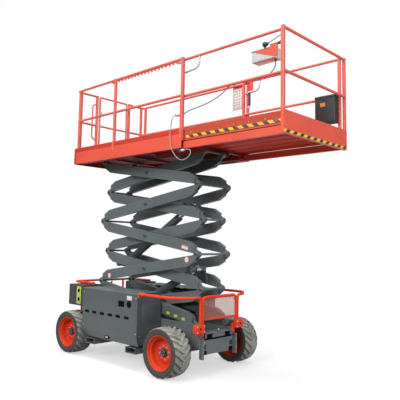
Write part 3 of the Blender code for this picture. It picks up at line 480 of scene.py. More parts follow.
orangeColour = (0.760, 0.088, 0.046)
greyColour = (0.112, 0.132, 0.136)
deckPaint = {"worn": (0.42, 0.20, 0.15), "dusty": 0.10, "wear": 0.35, "drift": 0.08}
foldPitch = 0.235  # between the folds under the roll-out sheet
looks = {
    "orange": sprayed("orangeDeckPaint", orangeColour, gloss=0.40, **deckPaint),
    "rollOutFrame": sprayed("orangeFramePaint", orangeColour, gloss=0.40, over=bandsAhead, **deckPaint),
    "rail": sprayed("orangeRailPaint", (0.740, 0.130, 0.092), gloss=0.42,
                    **{**deckPaint, "worn": (0.44, 0.24, 0.20)}),
    "guard": sprayed("orangeGuardPaint", (0.80, 0.052, 0.008), worn=(0.40, 0.22, 0.16), gloss=0.42,
                     dusty=0.06, wear=0.4, drift=0.06, Specular_IOR_Level=0.3),
    # a darker copy of the deck orange for the frame under the deck: painted shade
    "shadedUnderside": sprayed("orangeUndersideShadedPaint", (0.30, 0.020, 0.008), worn=(0.30, 0.12, 0.09), gloss=0.5,
                     dusty=0.15, wear=0.3),
    # a darker orange for the skirt's leaning strip and rear end: painted shade
    "strip": sprayed("orangeStripShadedPaint", (0.52, 0.024, 0.004), gloss=0.55, **deckPaint),
    "rim": sprayed("orangeRimPaint", (0.66, 0.040, 0.006), worn=(0.40, 0.14, 0.09), gloss=0.52, dusty=0.06,
                   wear=0.25, drift=0.05, Specular_IOR_Level=0.25),
    "screen": sprayed("screenPaint", (0.62, 0.26, 0.21), gloss=0.45, dusty=0.2, wear=0.2),
    # the arm paint takes a painted highlight along its edges
    "grey": sprayed("greyArmPaint", greyColour, worn=(0.30, 0.30, 0.29), dust=(0.30, 0.30, 0.28), gloss=0.40,
                    dusty=0.22, wear=0.55, rounding=0.007, edgeHighlight=0.7),
    # the covers' dust on top is turned up so it also paints the light on their top faces
    "pod": sprayed("greyCoverPaint", scaled(greyColour, 0.66), worn=(0.26, 0.26, 0.25),
                   dust=(0.28, 0.29, 0.29), gloss=0.33, dusty=0.45, dustTop=0.5, wear=0.35, rounding=0.008),
    "dark": sprayed("darkSteelPaint", (0.030, 0.033, 0.036), worn=(0.16, 0.16, 0.16), dust=(0.16, 0.16, 0.15),
                    gloss=0.48, dusty=0.22, wear=0.4),
    "black": moulded("blackMoulding", (0.016, 0.017, 0.018), 0.45),
    "pale": moulded("paleMoulding", (0.56, 0.58, 0.58), 0.42),
    "rubber": moulded("cableSheath", (0.045, 0.047, 0.050), 0.5),
    "paleSheath": moulded("paleCableSheath", (0.30, 0.30, 0.29), 0.5),
    # near-black moulding for openings, recesses and holes: painted shade
    "hollow": moulded("darkHollowShade", (0.005, 0.005, 0.005), 0.8, Specular_IOR_Level=0.05),
    "zinc": plated("zincPlate", (0.62, 0.62, 0.60), 0.28),
    "chrome": plated("hardChrome", (0.74, 0.74, 0.74), 0.10),
    "galvanised": plated("galvanisedHandle", (0.50, 0.49, 0.46), 0.34),
    "palePlate": plated("palePlate", (0.62, 0.42, 0.38), 0.30),
    "sidewall": tyreRubber("tyreSidewall", (0.020, 0.020, 0.020), (0.13, 0.12, 0.11), 0.35),
    "tread": tyreRubber("tyreTread", (0.16, 0.16, 0.145), (0.42, 0.42, 0.37), 0.85),
    "stripeX": hazard("hazardStripeAlong", "x", 1.1),
    "white": blankLabel("whiteLabel", (0.72, 0.72, 0.70)),
    "yellow": blankLabel("yellowLabel", (0.62, 0.60, 0.06)),
    "warning": blankLabel("orangeWhiteLabel", (0.78, 0.75, 0.70), (0.78, 0.20, 0.05), 1.752),
    "redLabel": blankLabel("redRingLabel", (0.60, 0.12, 0.12)),
    "tagBand": blankLabel("orangeTagBand", (0.72, 0.24, 0.08)),
    "paleMark": blankLabel("paleRedMark", (0.62, 0.34, 0.33)),
    "green": blankLabel("yellowGreenLabel", (0.46, 0.58, 0.05)),
    # each sheet's third colour is the painted shade in its folds
    "rollOutSheet": deckSheet("rollOutSheet", (0.50, 0.075, 0.040), (0.85, 0.040, 0.008),
                              (0.30, 0.014, 0.004), foldPitch),
    "floorSheet": deckSheet("floorSheet", (0.16, 0.17, 0.17), (0.16, 0.012, 0.005),
                            (0.07, 0.006, 0.003), 0.300),
}
print("finishes ready:", len(looks))


# carried-over nodes take a finish in place of their plain colour
armNodes = ["%s_arms_%d" % (kind, k) for kind in ("inner", "outer") for k in range(1, 6)]
nodeFinish = {
    "grey": ["chassis_frame", "front_axle", "rear_axle", "knuckle_left", "knuckle_right", "fork_pocket_front",
             "fork_pocket_rear", "track_left", "track_right"] + armNodes,
    "dark": ["pod_tray_left", "pod_tray_right", "rear_cabinet_left", "rear_cabinet_right"],
    "pod": ["lower_cylinder_barrel", "upper_cylinder_barrel"],
    "chrome": ["lower_cylinder_rod", "upper_cylinder_rod"],
    # the deck frame and rear skirt take the darker orange painted as shade
    "shadedUnderside": ["deck_frame", "rear_skirt"],
    "rollOutFrame": ["extension_frame"],
    "rollOutSheet": ["extension_deck"],
    "floorSheet": ["deck_floor"],
}
for finish, names in nodeFinish.items():
    for name in names:
        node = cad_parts.get(name)
        if node:
            node.data.materials.clear()
            node.data.materials.append(looks[finish])


makeCamera()


# cords: the control cable along the right rails, and the loop that takes it on down to its connector

cable = {
    "diameter": 0.012, "along": (-0.6562, 3.776), "clip": (1.105, 3.510), "leave": (-0.7270, -0.7370),
    "plug": (1.2803, -0.742, 3.012), "saddles": (2.0568, 2.2468, 2.4368), "saddleY": -0.6690, "points": 150,
}


# from the gland down to the mid rail, along it, and in a shallow sag to the clip
def controlRoute():
    y, z = cable["along"]
    x, clipZ = cable["clip"]
    return [(2.622, -0.585, 3.960), (2.622, -0.585, 3.925), (2.612, -0.592, 3.885), (2.585, -0.612, 3.835),
            (2.550, -0.638, 3.795), (2.513, y + 0.004, z + 0.004), (2.475, y, z), (2.400, y, z),
            (2.257, y, z), (2.100, y, z), (2.010, y, z), (1.955, y, z - 0.012),
            (1.895, y, 3.722), (1.818, -0.656, 3.680),
            (1.695, -0.655, 3.636), (1.604, -0.655, 3.615), (1.466, -0.655, 3.592), (1.300, -0.654, 3.574),
            (1.215, -0.652, 3.556), (1.165, -0.651, 3.537), (1.129, -0.661, 3.520), (1.110, -0.684, 3.512),
            (x, -0.707, clipZ), (x, cable["leave"][0], clipZ)]


# from the clip down outside the skirt, round below the deck's edge and up to the connector
def loopRoute():
    x, clipZ = cable["clip"]
    y = cable["leave"][1]
    return [(x, y, clipZ), (x, y - 0.022, clipZ), (1.103, y - 0.044, 3.492), (1.092, -0.806, 3.440),
            (1.066, -0.800, 3.340), (1.040, -0.790, 3.200), (1.058, -0.782, 3.070), (1.120, -0.777, 2.965),
            (1.200, -0.775, 2.892), (1.290, -0.774, 2.872), (1.370, -0.770, 2.898), (1.406, -0.762, 2.950),
            (1.385, -0.750, 2.999), (1.335, -0.742, 3.012), cable["plug"]]


# each cord is a round outline carried along its route, and its length is the run of the even steps
def makeCords():
    # the connector: a ribbed shell on the cable's end, seated on a folded shelf under the deck
    form = Form()
    x, y, z = cable["plug"]
    form.turn([(0.0005, 0), (0.0095, 0), (0.0100, 0.018), (0.0135, 0.022), (0.0160, 0.026), (0.0160, 0.030),
               (0.0150, 0.032), (0.0150, 0.036), (0.0160, 0.038), (0.0160, 0.052), (0.0175, 0.054),
               (0.0175, 0.059), (0.0005, 0.059)], (x, y, z), "x", 28, 0, -1)
    form.block((x - 0.050, x - 0.030), around(y, 0.005), (z + 0.0145, z + 0.0195), 0.001, 1)
    connector = makePiece("cableConnector", form, "pale zinc", "platform")
    form = Form()
    shelf = (x - 0.128, x - 0.0605)
    form.block(shelf, around(y, 0.016), (z - 0.022, z - 0.0165), 0.002)
    form.block((x - 0.066, x - 0.0605), around(y, 0.016), (z - 0.022, z + 0.034), 0.002)
    form.block(shelf, (y - 0.004, y), (z - 0.020, z + 0.034), 0.001)
    form.block(shelf, around(y, 0.018), (z + 0.0285, z + 0.0312), 0.001)
    nut = [(0.0005, 0), (0.0125, 0), (0.0125, 0.012), (0.0085, 0.014), (0.0005, 0.014)]
    form.turn(nut, (x - 0.066, y, z), "x", 24, 1, -1)
    makePiece("connectorShelf", form, "dark zinc", "platform")
    # the clip: an arm from the front post to a split ring round the cable
    form = Form()
    x, z = cable["clip"]
    turn = np.linspace(0.5, fullTurn - 0.5, 30)
    ring = np.stack([x - 0.0115 * np.cos(turn), -0.732 + 0 * turn, z + 0.0115 * np.sin(turn)], -1)
    form.sweep(ring, squareTube(0.0035, 0.001, 1) * [1, 5.0], up=(0, 1, 0))
    form.block((x + 0.012, 1.1895), around(-0.732, 0.008), around(z, 0.003), 0.001)
    form.heads([(1.150, -0.740, z)], (0, -1, 0), 0.006, 0.004, 6, 1)
    makePiece("cableClip", form, "pale zinc", "platform")
    # saddles that hold the cable to the roll-out deck's mid rail
    form = Form()
    z = cable["along"][1]
    turn = np.linspace(0, fullTurn, 36, endpoint=False)
    across, tall = 0.0335 * 0.66 - 0.006, 0.0205
    for x in cable["saddles"]:
        y = cable["saddleY"] + across * np.cos(turn)
        loop = np.stack([x + 0 * turn, y, z + tall * np.sin(turn)], -1)
        form.sweep(loop, squareTube(0.0012, 0.0004, 1) * [1, 4.5], loop=True, up=(1, 0, 0))
    makePiece("cableSaddles", form, "black", "extension")
    for name, route, look, body, far, pieces in (
            ("controlCable", controlRoute(), "rubber", "extension", "object", ()),
            ("platformCable", loopRoute(), "paleSheath", "platform", "connector", (connector,))):
        form = Form()
        line = through(route, cable["points"])
        form.pipe(line, cable["diameter"] / 2, 0, 14)
        piece = makePiece(name, form, look, body)
        run = float(np.linalg.norm(np.diff(line, axis=0), axis=1).sum())
        print(name, "length", round(run, 4))


makeCords()
print("camera and cords ready")


# wheels: a lugged tyre on a deep dished rim

wheel = {
    "radius": 0.3295, "outerY": 0.875, "width": 0.300, "height": 0.330, "lugs": 21, "lugDepth": 0.024,
    "slant": 2.3, "centres": {"front": 1.000, "rear": -1.142}, "face": 0.037, "around": 462, "across": 47,
    "studs": (8, 0.2, 0.088), "bolts": (5, 0.5, 0.036),  # count, the first one's angle, their circle's radius
    # the tyre's wall: radius and share of the half width, from the tread over the shoulder to the bead
    "wall": [(0.312, 1.0), (0.300, 1.0), (0.292, 0.985), (0.286, 0.992), (0.262, 0.985), (0.248, 0.955),
             (0.2325, 0.900)],
    # the rim: radius and height from the tyre's middle, out to the flange and back down the inside
    "rim": [(0.0005, 0.037), (0.052, 0.037), (0.060, 0.035), (0.128, 0.035), (0.140, 0.029), (0.150, 0.022),
            (0.168, 0.024), (0.178, 0.036), (0.186, 0.070), (0.190, 0.098), (0.205, 0.104), (0.212, 0.112),
            (0.214, 0.130), (0.222, 0.138), (0.2305, 0.140), (0.2315, 0.134), (0.228, 0.128), (0.228, -0.128),
            (0.2315, -0.134), (0.2305, -0.140), (0.222, -0.138), (0.214, -0.130), (0.210, -0.060),
            (0.196, -0.020), (0.170, 0.000), (0.140, 0.010), (0.0005, 0.022)],
    "hub": [(0.0005, -0.004), (0.060, -0.004), (0.058, 0.006), (0.050, 0.010), (0.048, 0.030), (0.043, 0.036),
            (0.024, 0.038), (0.022, 0.044), (0.0005, 0.045)],
    "stud": [(0.0003, -0.002), (0.0135, -0.002), (0.0135, 0.003), (0.0095, 0.004), (0.0095, 0.015),
             (0.0045, 0.016), (0.0045, 0.026), (0.0003, 0.027)],
    "bolt": [(0.0003, 0), (0.005, 0), (0.005, 0.006), (0.0003, 0.007)],
}


# radius of the tread at angle u and width v (-1 to 1): a crown that falls at the shoulders, and slanted lugs
def treadRadius(u, v):
    away = np.abs(v)
    crown = wheel["radius"] - 0.010 * away ** 2.2 - 0.016 * np.clip((away - 0.86) / 0.14, 0, 1) ** 2
    phase = u * wheel["lugs"] / fullTurn + np.where(v > 0, 0.5, 0.0) - away ** 1.15 * wheel["slant"] * 0.5
    phase = phase - np.floor(phase)
    lug = np.clip((0.27 - np.abs(phase - 0.5)) / 0.035, 0, 1)
    lug = lug * np.clip((away + 0.06) / 0.05, 0, 1)  # each lug stops just past the middle line
    lug = lug * lug * (3 - 2 * lug)
    return crown - wheel["lugDepth"] * (1 - lug)


# the tread's radius across the width, with a wall on each side that follows the lugs' tops at its edge
def makeTyre(name, title, x, side):
    form = Form()
    half = wheel["width"] / 2
    middle = side * (wheel["outerY"] - half)
    u = np.linspace(0, fullTurn, wheel["around"], endpoint=False)[:, None]
    v = np.concatenate([[-1], np.linspace(-0.985, 0.985, wheel["across"]), [1]])[None, :]
    tread = treadRadius(u, v)
    radius, share = np.array(wheel["wall"]).T
    wall = radius + 0 * u
    lugTop = np.clip((tread[:, -1] - 0.300) / 0.024, 0, 1)
    out = half * share + 0 * u
    for k, give in enumerate((0.006, 0.008)):
        out[:, k] = half - give + give * lugTop
    r = np.hstack([wall[:, ::-1], tread, wall])
    across = np.hstack([-out[:, ::-1], v * (half - 0.002) + 0 * u, out])
    slots = np.ones(r.shape[1], int)
    slots[len(radius):-len(radius) - 1] = 0
    grid = np.stack([x + r * np.cos(u), middle + across, wheel["height"] + r * np.sin(u)], -1)
    form.rows(grid, slots, True)
    makePiece("tyre" + title, form, "tread sidewall", "wheel_" + name, "tyre_" + name, smooth=38)


# the rim's profile turned, a hub on its face, and rings of studs and bolts at even angles
def makeRim(name, title, x, side):
    form = Form()
    z = wheel["height"]
    middle = side * (wheel["outerY"] - wheel["width"] / 2)
    face = middle + side * wheel["face"]
    form.turn(wheel["rim"], (x, middle, z), "y", 96, 0, side)
    form.turn(wheel["hub"], (x, face, z), "y", 40, 1, side)
    for kind, y, sides in (("stud", face - side * 0.002, 12), ("bolt", face + side * 0.032, 10)):
        count, first, reach = wheel[kind + "s"]
        for angle in np.linspace(0, fullTurn, count, endpoint=False) + first:
            place = (x + reach * math.cos(angle), y, z + reach * math.sin(angle))
            form.turn(wheel[kind], place, "y", sides, 2, side)
    makePiece("rim" + title, form, "rim dark zinc", "wheel_" + name, "rim_" + name)


for end, x in wheel["centres"].items():
    for sideName, side in bothSides:
        for make in (makeTyre, makeRim):
            make("%s_%s" % (end, sideName), end.title() + sideName.title(), x, side)
print("wheels ready")


# side covers: a folded sheet with a crease, vents, gauge openings and a latch

cover = {
    "x": (-0.790, 0.504), "y": 0.8245, "top": 1.056, "bottom": 0.324, "crease": 0.430, "sheet": 0.004,
    "shoulder": 0.028, "inner": 0.395, "ventZ": 0.702, "hinges": (-0.4665, 0.1805),
    "vents": (-0.669, -0.484, -0.294, -0.101, 0.080, 0.274),
}


# the folded sheet is one outline in Y and Z carried along X, with its openings laid on the outer face
def makeCover(sideName, side):
    form = Form()
    (x0, x1), r = cover["x"], cover["shoulder"]
    out, top, t = cover["y"], cover["top"], cover["sheet"]
    turn = np.linspace(0, math.pi / 2, 6)[::-1]
    shoulder = [(out - r + r * math.cos(a), top - r + r * math.sin(a)) for a in turn]
    lower = [(0, cover["crease"] + 0.004), (-0.002, cover["crease"] - 0.004),
             (-0.038, cover["bottom"] + 0.004), (-0.040, cover["bottom"])]
    outer = [(cover["inner"], top)] + shoulder + [(out + y, z) for y, z in lower]
    inner = [(cover["inner"], top - t)] + [(y - t, z - t) for y, z in shoulder[1:-1]]
    inner += [(out - t + y, z) for y, z in lower]
    form.fold(outer + inner[::-1], side, (x0, x0 + 0.002, x1 - 0.002, x1))
    # vents and gauge holes are dark plates of painted shade a hair proud of the sheet, each with a pressed
    # lip around it
    face, ventZ = side * out, cover["ventZ"]
    for x in cover["vents"]:
        lip = (face - side * 0.001, face + side * 0.0025)
        form.block(around(x, 0.052), lip, around(ventZ, 0.022), 0.0015)
        form.block(around(x, 0.050), (face, face + side * 0.0032), around(ventZ, 0.0200), 0.001, 1)
    form.block((0.082, 0.214), (face, face + side * 0.003), (0.846, 0.930), 0.002, 1)
    form.block((0.088, 0.208), (face, face + side * 0.006), (0.852, 0.924), 0.003, 1)
    gauge = [(0.0005, 0), (0.047, 0), (0.047, 0.004), (0.040, 0.006), (0.0005, 0.0065)]
    form.turn(gauge, (0.322, face, 0.892), "y", 40, 1, side)
    form.block((0.273, 0.381), (face, face + side * 0.0015), (0.953, 1.009), 0.001, 2)
    # recessed pull at the bottom, on the folded-in lip, its recess a dark plate of painted shade
    form.block((-0.232, -0.124), (face - side * 0.030, face - side * 0.012), (0.348, 0.398), 0.004, 1)
    form.block((-0.205, -0.150), (face - side * 0.020, face - side * 0.008), (0.362, 0.386), 0.003, 3)
    corners = [(x, face, z) for x in (x0 + 0.03, x1 - 0.03) for z in (0.50, 0.99)]
    form.heads(corners, (0, side, 0), 0.008, 0.005, 12, 3)
    for x in cover["hinges"]:
        form.pipe([(x - 0.030, side * 0.385, 1.046), (x + 0.030, side * 0.385, 1.046)], 0.0125, 3, 16)
        form.block(around(x, 0.030), (side * 0.386, side * 0.460), (1.0495, 1.0535), 0.001, 3)
    name = "hood_" + sideName
    makePiece("sideCover" + sideName.title(), form, "pod hollow white zinc", name, name)


# end walls of the compartments, seen from the front and the back
def makeEnds(sideName, side):
    form = Form()
    outline = [(0.372, 1.040), (0.795, 1.040), (0.812, 1.022), (0.812, 0.435), (0.776, 0.338),
               (0.372, 0.338)]
    for end, way in zip(cover["x"][::-1], (-1, 1)):
        plane = end + way * 0.0075
        form.plate([(side * y, z) for y, z in outline], *around(plane, 0.0035), "x", 0, 0.002)
        corners = [(plane - way * 0.003, side * y, z) for y in (0.42, 0.77) for z in (0.47, 0.99)]
        form.heads(corners, (-way, 0, 0), 0.008, 0.005, 6, 1)
        depth = (plane - way * 0.0030, plane - way * 0.0065)
        form.block(depth, (side * 0.46, side * 0.73), (0.62, 0.90), 0.003)
    makePiece("compartmentEnds" + sideName.title(), form, "pod zinc", "chassis")


for make in (makeCover, makeEnds):
    for sideName, side in bothSides:
        make(sideName, side)
print("side covers ready")


# front guard: two side bars that turn down into posts, and a hoop with its screen between them

guard = {
    "x": 1.300, "top": 1.045, "hoopY": 0.359, "postY": 0.397, "barY": 0.782, "tube": 0.0195, "low": 0.745,
    "foot": 0.600, "plate": 1.2605, "screenPitch": 0.0125, "wire": 0.0018, "cut": 0.055,
}


# round tubes carried along bent paths, with foot plates and bolts
def makeFrontGuard():
    form = Form()
    x, top, tube, plate = guard["x"], guard["top"], guard["tube"], guard["plate"]
    start, foot, hoopY = cover["x"][1], guard["foot"], guard["hoopY"]
    for side in (-1, 1):
        barY, postY = side * guard["barY"], side * guard["postY"]
        bar = [(start + 0.001, barY, top), (1.100, barY, top), (x, side * 0.527, top), (x, postY, top),
               (x, postY, foot)]
        form.pipe(bent(bar, 0.060), tube, 0, 24)
        form.block((plate + 0.012, x + 0.035), (side * 0.334, side * 0.517), (0.575, 0.690), 0.010)
        form.block((plate, plate + 0.020), (side * 0.300, side * 0.366), (0.520, 0.640), 0.003)
        corners = [(x + 0.035, side * y, z) for y in (0.355, 0.492) for z in (0.596, 0.670)]
        form.heads(corners, (1, 0, 0), 0.011, 0.008, 6, 1)
        # the dark disc in each foot plate is painted shade
        form.heads([(x + 0.035, side * 0.424, 0.634)], (1, 0, 0), 0.015, 0.003, 16, 2)
        tab = (start + 0.0005, start + 0.0065)
        form.block(tab, (side * 0.745, side * 0.822), (top - 0.045, top + 0.008), 0.002)
        pair = [(start + 0.0065, side * y, top - 0.030) for y in (0.757, 0.812)]
        form.heads(pair, (1, 0, 0), 0.007, 0.005, 6, 1)
    hoop = [(x, -hoopY, foot), (x, -hoopY, top), (x, hoopY, top), (x, hoopY, foot)]
    form.pipe(bent(hoop, 0.075), tube, 0, 24)
    form.pipe([(x, -hoopY, guard["low"]), (x, hoopY, guard["low"])], 0.013, 0, 18)
    makePiece("frontGuard", form, "guard zinc hollow", "chassis", "front_guard")


# woven screen: two sets of slanted wires, trimmed at the hoop's round corners, and a bound edge
def makeScreen():
    form = Form()
    x, cut, low, high = guard["x"], guard["cut"], guard["low"] + 0.013, guard["top"] - 0.020
    reach, tall = guard["hoopY"] - 0.020, high - low
    wide = reach * 2
    for lean in (-1, 1):
        for start in np.arange(-tall, wide + tall, guard["screenPitch"]):
            first, last = max(0.0, -start), min(tall, wide - start)
            if lean > 0:
                last = min(last, (wide + tall - cut - start) / 2)
                outside = start < cut - tall
            else:
                first = max(first, (cut - start) / 2)
                outside = start > wide - cut
            if outside or last - first < 0.008:
                continue
            z0 = low if lean > 0 else high
            ends = [(x + lean * 0.0012, start + run - reach, z0 + lean * run) for run in (first, last)]
            form.pipe(ends, guard["wire"], 0, 4)
    edge = [(-reach, low), (reach, low), (reach, high - cut), (reach - cut, high), (cut - reach, high),
            (-reach, high - cut)]
    form.sweep([(x, *corner) for corner in edge], squareTube(0.004, 0.001, 1), 1, True, (1, 0, 0))
    makePiece("guardScreen", form, "screen guard", "chassis", "guard_screen", flat=True)


makeFrontGuard()
makeScreen()


# chassis front: a ledge on three blocks with shadowed pockets between them, and the bolted plate below

nose = {"x": 1.2605, "plate": 1.2772, "ledge": (0.549, 0.5585), "blocks": (0.490, 0.5495), "half": 0.290}


# rounded blocks stacked on the front plate, mirrored from side to side
def makeNose():
    form = Form()
    x, half, front = nose["x"], nose["half"], nose["plate"]
    form.block((x, x + 0.050), (-half, half), nose["ledge"], 0.003)
    form.block((x, x + 0.034), (-0.130, 0.130), nose["blocks"], 0.004)
    for side in (-1, 1):
        form.block((x, x + 0.034), (side * 0.250, side * 0.288), nose["blocks"], 0.004)
        form.block((x, x + 0.004), (side * 0.131, side * 0.249), (0.484, 0.5485), 0.001, 1)
        # the dark opening and slits on the front plate are painted shade
        form.block((front, front + 0.0012), (side * 0.236, side * 0.318), (0.272, 0.326), 0.0005, 1)
        for k in range(4):
            slit = (side * (0.252 + k * 0.017), side * (0.259 + k * 0.017))
            form.block((front, front + 0.0012), slit, (0.345, 0.405), 0.0004, 1)
        form.heads([(front, side * 0.285, z) for z in (0.430, 0.446)], (1, 0, 0), 0.007, 0.005, 6, 2)
        form.heads([(front + 0.045, side * 0.350, z) for z in (0.32, 0.42)], (1, 0, 0), 0.006, 0.003, 6, 2)
    # a dark band of painted shade under the blocks
    form.block((x, x + 0.006), (-0.300, 0.300), (0.4625, 0.4895), 0.001, 1)
    form.block((x + 0.010, x + 0.030), (-0.020, 0.030), (0.5587, 0.580), 0.004)
    knob = [(0.0005, 0), (0.010, 0), (0.010, 0.020), (0.006, 0.024), (0.0005, 0.024)]
    form.turn(knob, (x + 0.020, 0.004, 0.580), "z", 16, 2)
    makePiece("chassisNose", form, "grey hollow zinc", "chassis")


makeNose()

rearGuard = {"x": -1.370, "front": -0.820, "y": 0.600, "z": 1.100, "postY": 0.440, "tube": 0.018}
form = Form()
x, y, z, tube = rearGuard["x"], rearGuard["y"], rearGuard["z"], rearGuard["tube"]
hoop = [(rearGuard["front"], y, z), (x, y, z), (x, -y, z), (rearGuard["front"], -y, z)]
form.pipe(bent(hoop, 0.12), tube, 0, 22)
for side in (-1, 1):
    postY = side * rearGuard["postY"]
    form.pipe([(x, postY, 0.500), (x, postY, z)], tube, 0, 22)
    form.block((x - 0.020, -1.260), (side * 0.3673, side * 0.450), (0.460, 0.540), 0.004)
    form.heads([(x + 0.03, side * 0.450, low) for low in (0.48, 0.52)], (0, side, 0), 0.009, 0.007, 6, 1)
makePiece("rearGuard", form, "guard zinc", "chassis", "rear_guard")

ladder = {"near": -1.360, "far": -1.500, "half": 0.200, "rungs": (0.330, 0.600, 0.870),
          "grips": np.arange(-0.18, 0.19, 0.03)}
form = Form()
near, far, half = ladder["near"], ladder["far"], ladder["half"]
for side in (-1, 1):
    y = side * half
    stile = [(far + 0.015, y, 0.300), (far + 0.015, y, 0.980), (near - 0.020, y, 1.060)]
    form.pipe(bent(stile, 0.06), 0.015, 0, 20)
    form.block((far + 0.010, near - 0.0005), around(y, 0.012), (0.480, 0.530), 0.003)
    form.block((near - 0.012, near - 0.0005), (side * 0.180, side * 0.340), (0.460, 0.550), 0.003)
    corners = [(near - 0.012, side * out, z) for out in (0.25, 0.31) for z in (0.48, 0.53)]
    form.heads(corners, (-1, 0, 0), 0.009, 0.007, 6, 1)
for z in ladder["rungs"]:
    form.block((far, far + 0.030), (-half, half), around(z, 0.012), 0.003)
    grip = [(far + 0.006 + 0.006 * (k % 3), y, z + 0.011) for k, y in enumerate(ladder["grips"])]
    form.heads(grip, (0, 0, 1), 0.004, 0.003, 6, 1)
makePiece("stepLadder", form, "grey zinc", "chassis", "ladder")
print("guards ready")


# platform rails: round rails between square posts with black end caps

deck = {
    "x": (-1.290, 1.2268), "half": 0.755, "low": 3.0435, "floor": 3.150, "toe": 3.310, "mid": 3.776,
    "top": 4.291, "postY": 0.7317, "postX": -0.260, "tube": 0.0190, "entryY": {-1: -0.344, 1: 0.375},
    "extFront": 2.847, "extHalf": 0.705, "extPostY": 0.6817, "extFloor": 3.170, "extTube": 0.0185,
}
post = squareTube(deck["tube"] - 0.0003, 0.004)
railLevels = (deck["mid"], deck["top"])


# a square outline carried up from the foot, with a cap just over its top
def addPost(form, x, y, low, top):
    form.sweep([(x, y, low), (x, y, top)], post, up=(0, 1, 0))
    form.block(around(x, 0.0195), around(y, 0.0195), (top - 0.001, top + 0.006), 0.004, 1)


# two round rails bent at the rear corner, with posts at the corner, the entry, the middle and the front
def makeRail(sideName, side):
    form = Form()
    y, r, end = side * deck["postY"], deck["tube"], deck["entryY"][side]
    rear, front = deck["x"][0] + r + 0.004, deck["x"][1] - r
    low, top = deck["floor"] + 0.0005, deck["top"]
    for z in railLevels:
        form.pipe(bent([(front, y, z), (rear, y, z), (rear, end, z)], 0.055), r - 0.0005, 0, 24)
    addPost(form, rear, end, low, top + 0.008)
    addPost(form, rear + 0.060, y, low, top)
    addPost(form, rear, y - side * 0.060, low, top)
    for x in (deck["postX"], front):
        addPost(form, x, y, low, top + 0.010)
        # bolts that pin each folding rail to its post
        bolts = [(x, y + side * 0.019, z) for z in (deck["mid"] - 0.03, top - 0.032, 3.36)]
        form.heads(bolts, (0, side, 0), 0.009, 0.006, 6, 2)
    if side < 0:  # a bow handle beside the entry
        bow = [(rear, -0.358, 4.150), (rear, -0.436, 4.125), (rear, -0.442, 3.555), (rear, -0.362, 3.515)]
        form.pipe(bent(bow, 0.045), 0.0125, 0, 18)
    else:  # the gate's hinge lugs and pins
        for z in gate["hinges"]:
            for offset in (-0.034, 0.034):
                form.block(around(rear, 0.007), (0.340, 0.367), around(z + offset, 0.006), 0.001)
            form.pipe([(rear, gate["pinY"], z - 0.036), (rear, gate["pinY"], z + 0.036)], 0.004, 2, 14)
    name = "rail_" + sideName
    makePiece("rail" + sideName.title(), form, "rail black zinc", "platform", name)


# side sheet: a lower band, a fold, and an upper strip that leans out to a rolled edge; the strip and the rear
# end are painted a darker orange as shade
def makeSkirt(sideName, side):
    form = Form()
    out, low, toe, crease = deck["half"], deck["low"], deck["toe"], 3.2385
    rear, front = deck["x"]
    stations = (rear, rear + 0.001, front - 0.001, front)
    band = [(out - 0.003, low + 0.0005), (out, low + 0.0025), (out, 3.236), (out - 0.0018, crease),
            (out - 0.0040, crease), (out - 0.0040, low + 0.0005)]
    strip = [(out - 0.0040, crease + 0.0001), (out - 0.0026, crease + 0.0001), (out - 0.0008, toe - 0.004),
             (out - 0.0018, toe), (out - 0.0040, toe)]
    form.fold(band, side, stations)
    form.fold(strip, side, stations, 2)
    face, tall = side * out, (low + 0.001, toe - 0.0005)
    for x in (deck["postX"], front - deck["tube"]):  # a folded pocket over each post's foot
        stretch = (x - 0.026, min(x + 0.026, front - 0.0005))
        form.block(stretch, (face - side * 0.0035, face + side * 0.008), tall, 0.004)
        form.heads([(x, face + side * 0.008, z) for z in (3.09, 3.20)], (0, side, 0), 0.008, 0.004, 6, 1)
    form.block((rear, rear + 0.050), (face - side * 0.0035, face + side * 0.003), tall, 0.002, 2)
    form.heads([(x, face, 3.072) for x in np.arange(-1.20, 1.15, 0.335)], (0, side, 0), 0.006, 0.003, 12)
    name = "deck_skirt_" + sideName
    makePiece("deckSkirt" + sideName.title(), form, "orange zinc strip", "platform", name)


gate = {"y": (-0.282, 0.317), "low": 3.180, "tube": 0.0158, "hinges": (3.500, 4.050), "pinY": 0.346}
for sideName, side in bothSides:
    makeRail(sideName, side)
    makeSkirt(sideName, side)

form = Form()
x, low, top, (y0, y1) = deck["x"][0] + 0.023, gate["low"], deck["top"], gate["y"]
form.pipe(bent([(x, y0, low), (x, y0, top), (x, y1, top), (x, y1, low)], 0.022), gate["tube"], 0, 22)
form.pipe([(x, y0, deck["mid"]), (x, y1, deck["mid"])], gate["tube"], 0, 22)
form.block(around(x, 0.003), (y0 + 0.001, y1 - 0.001), (low + 0.001, deck["toe"]), 0.001)
for z in gate["hinges"]:
    form.pipe([(x, gate["pinY"], z - 0.022), (x, gate["pinY"], z + 0.022)], 0.0085, 1, 16)
    form.block(around(x, 0.005), (0.327, 0.339), around(z, 0.020), 0.001)
form.block((x + 0.016, x + 0.040), (-0.305, -0.262), (3.960, 4.020), 0.004, 1)
form.block((x + 0.016, x + 0.046), (0.262, 0.330), (4.160, 4.215), 0.006, 2)
makePiece("entryGate", form, "rail zinc pale", "gate", "gate")

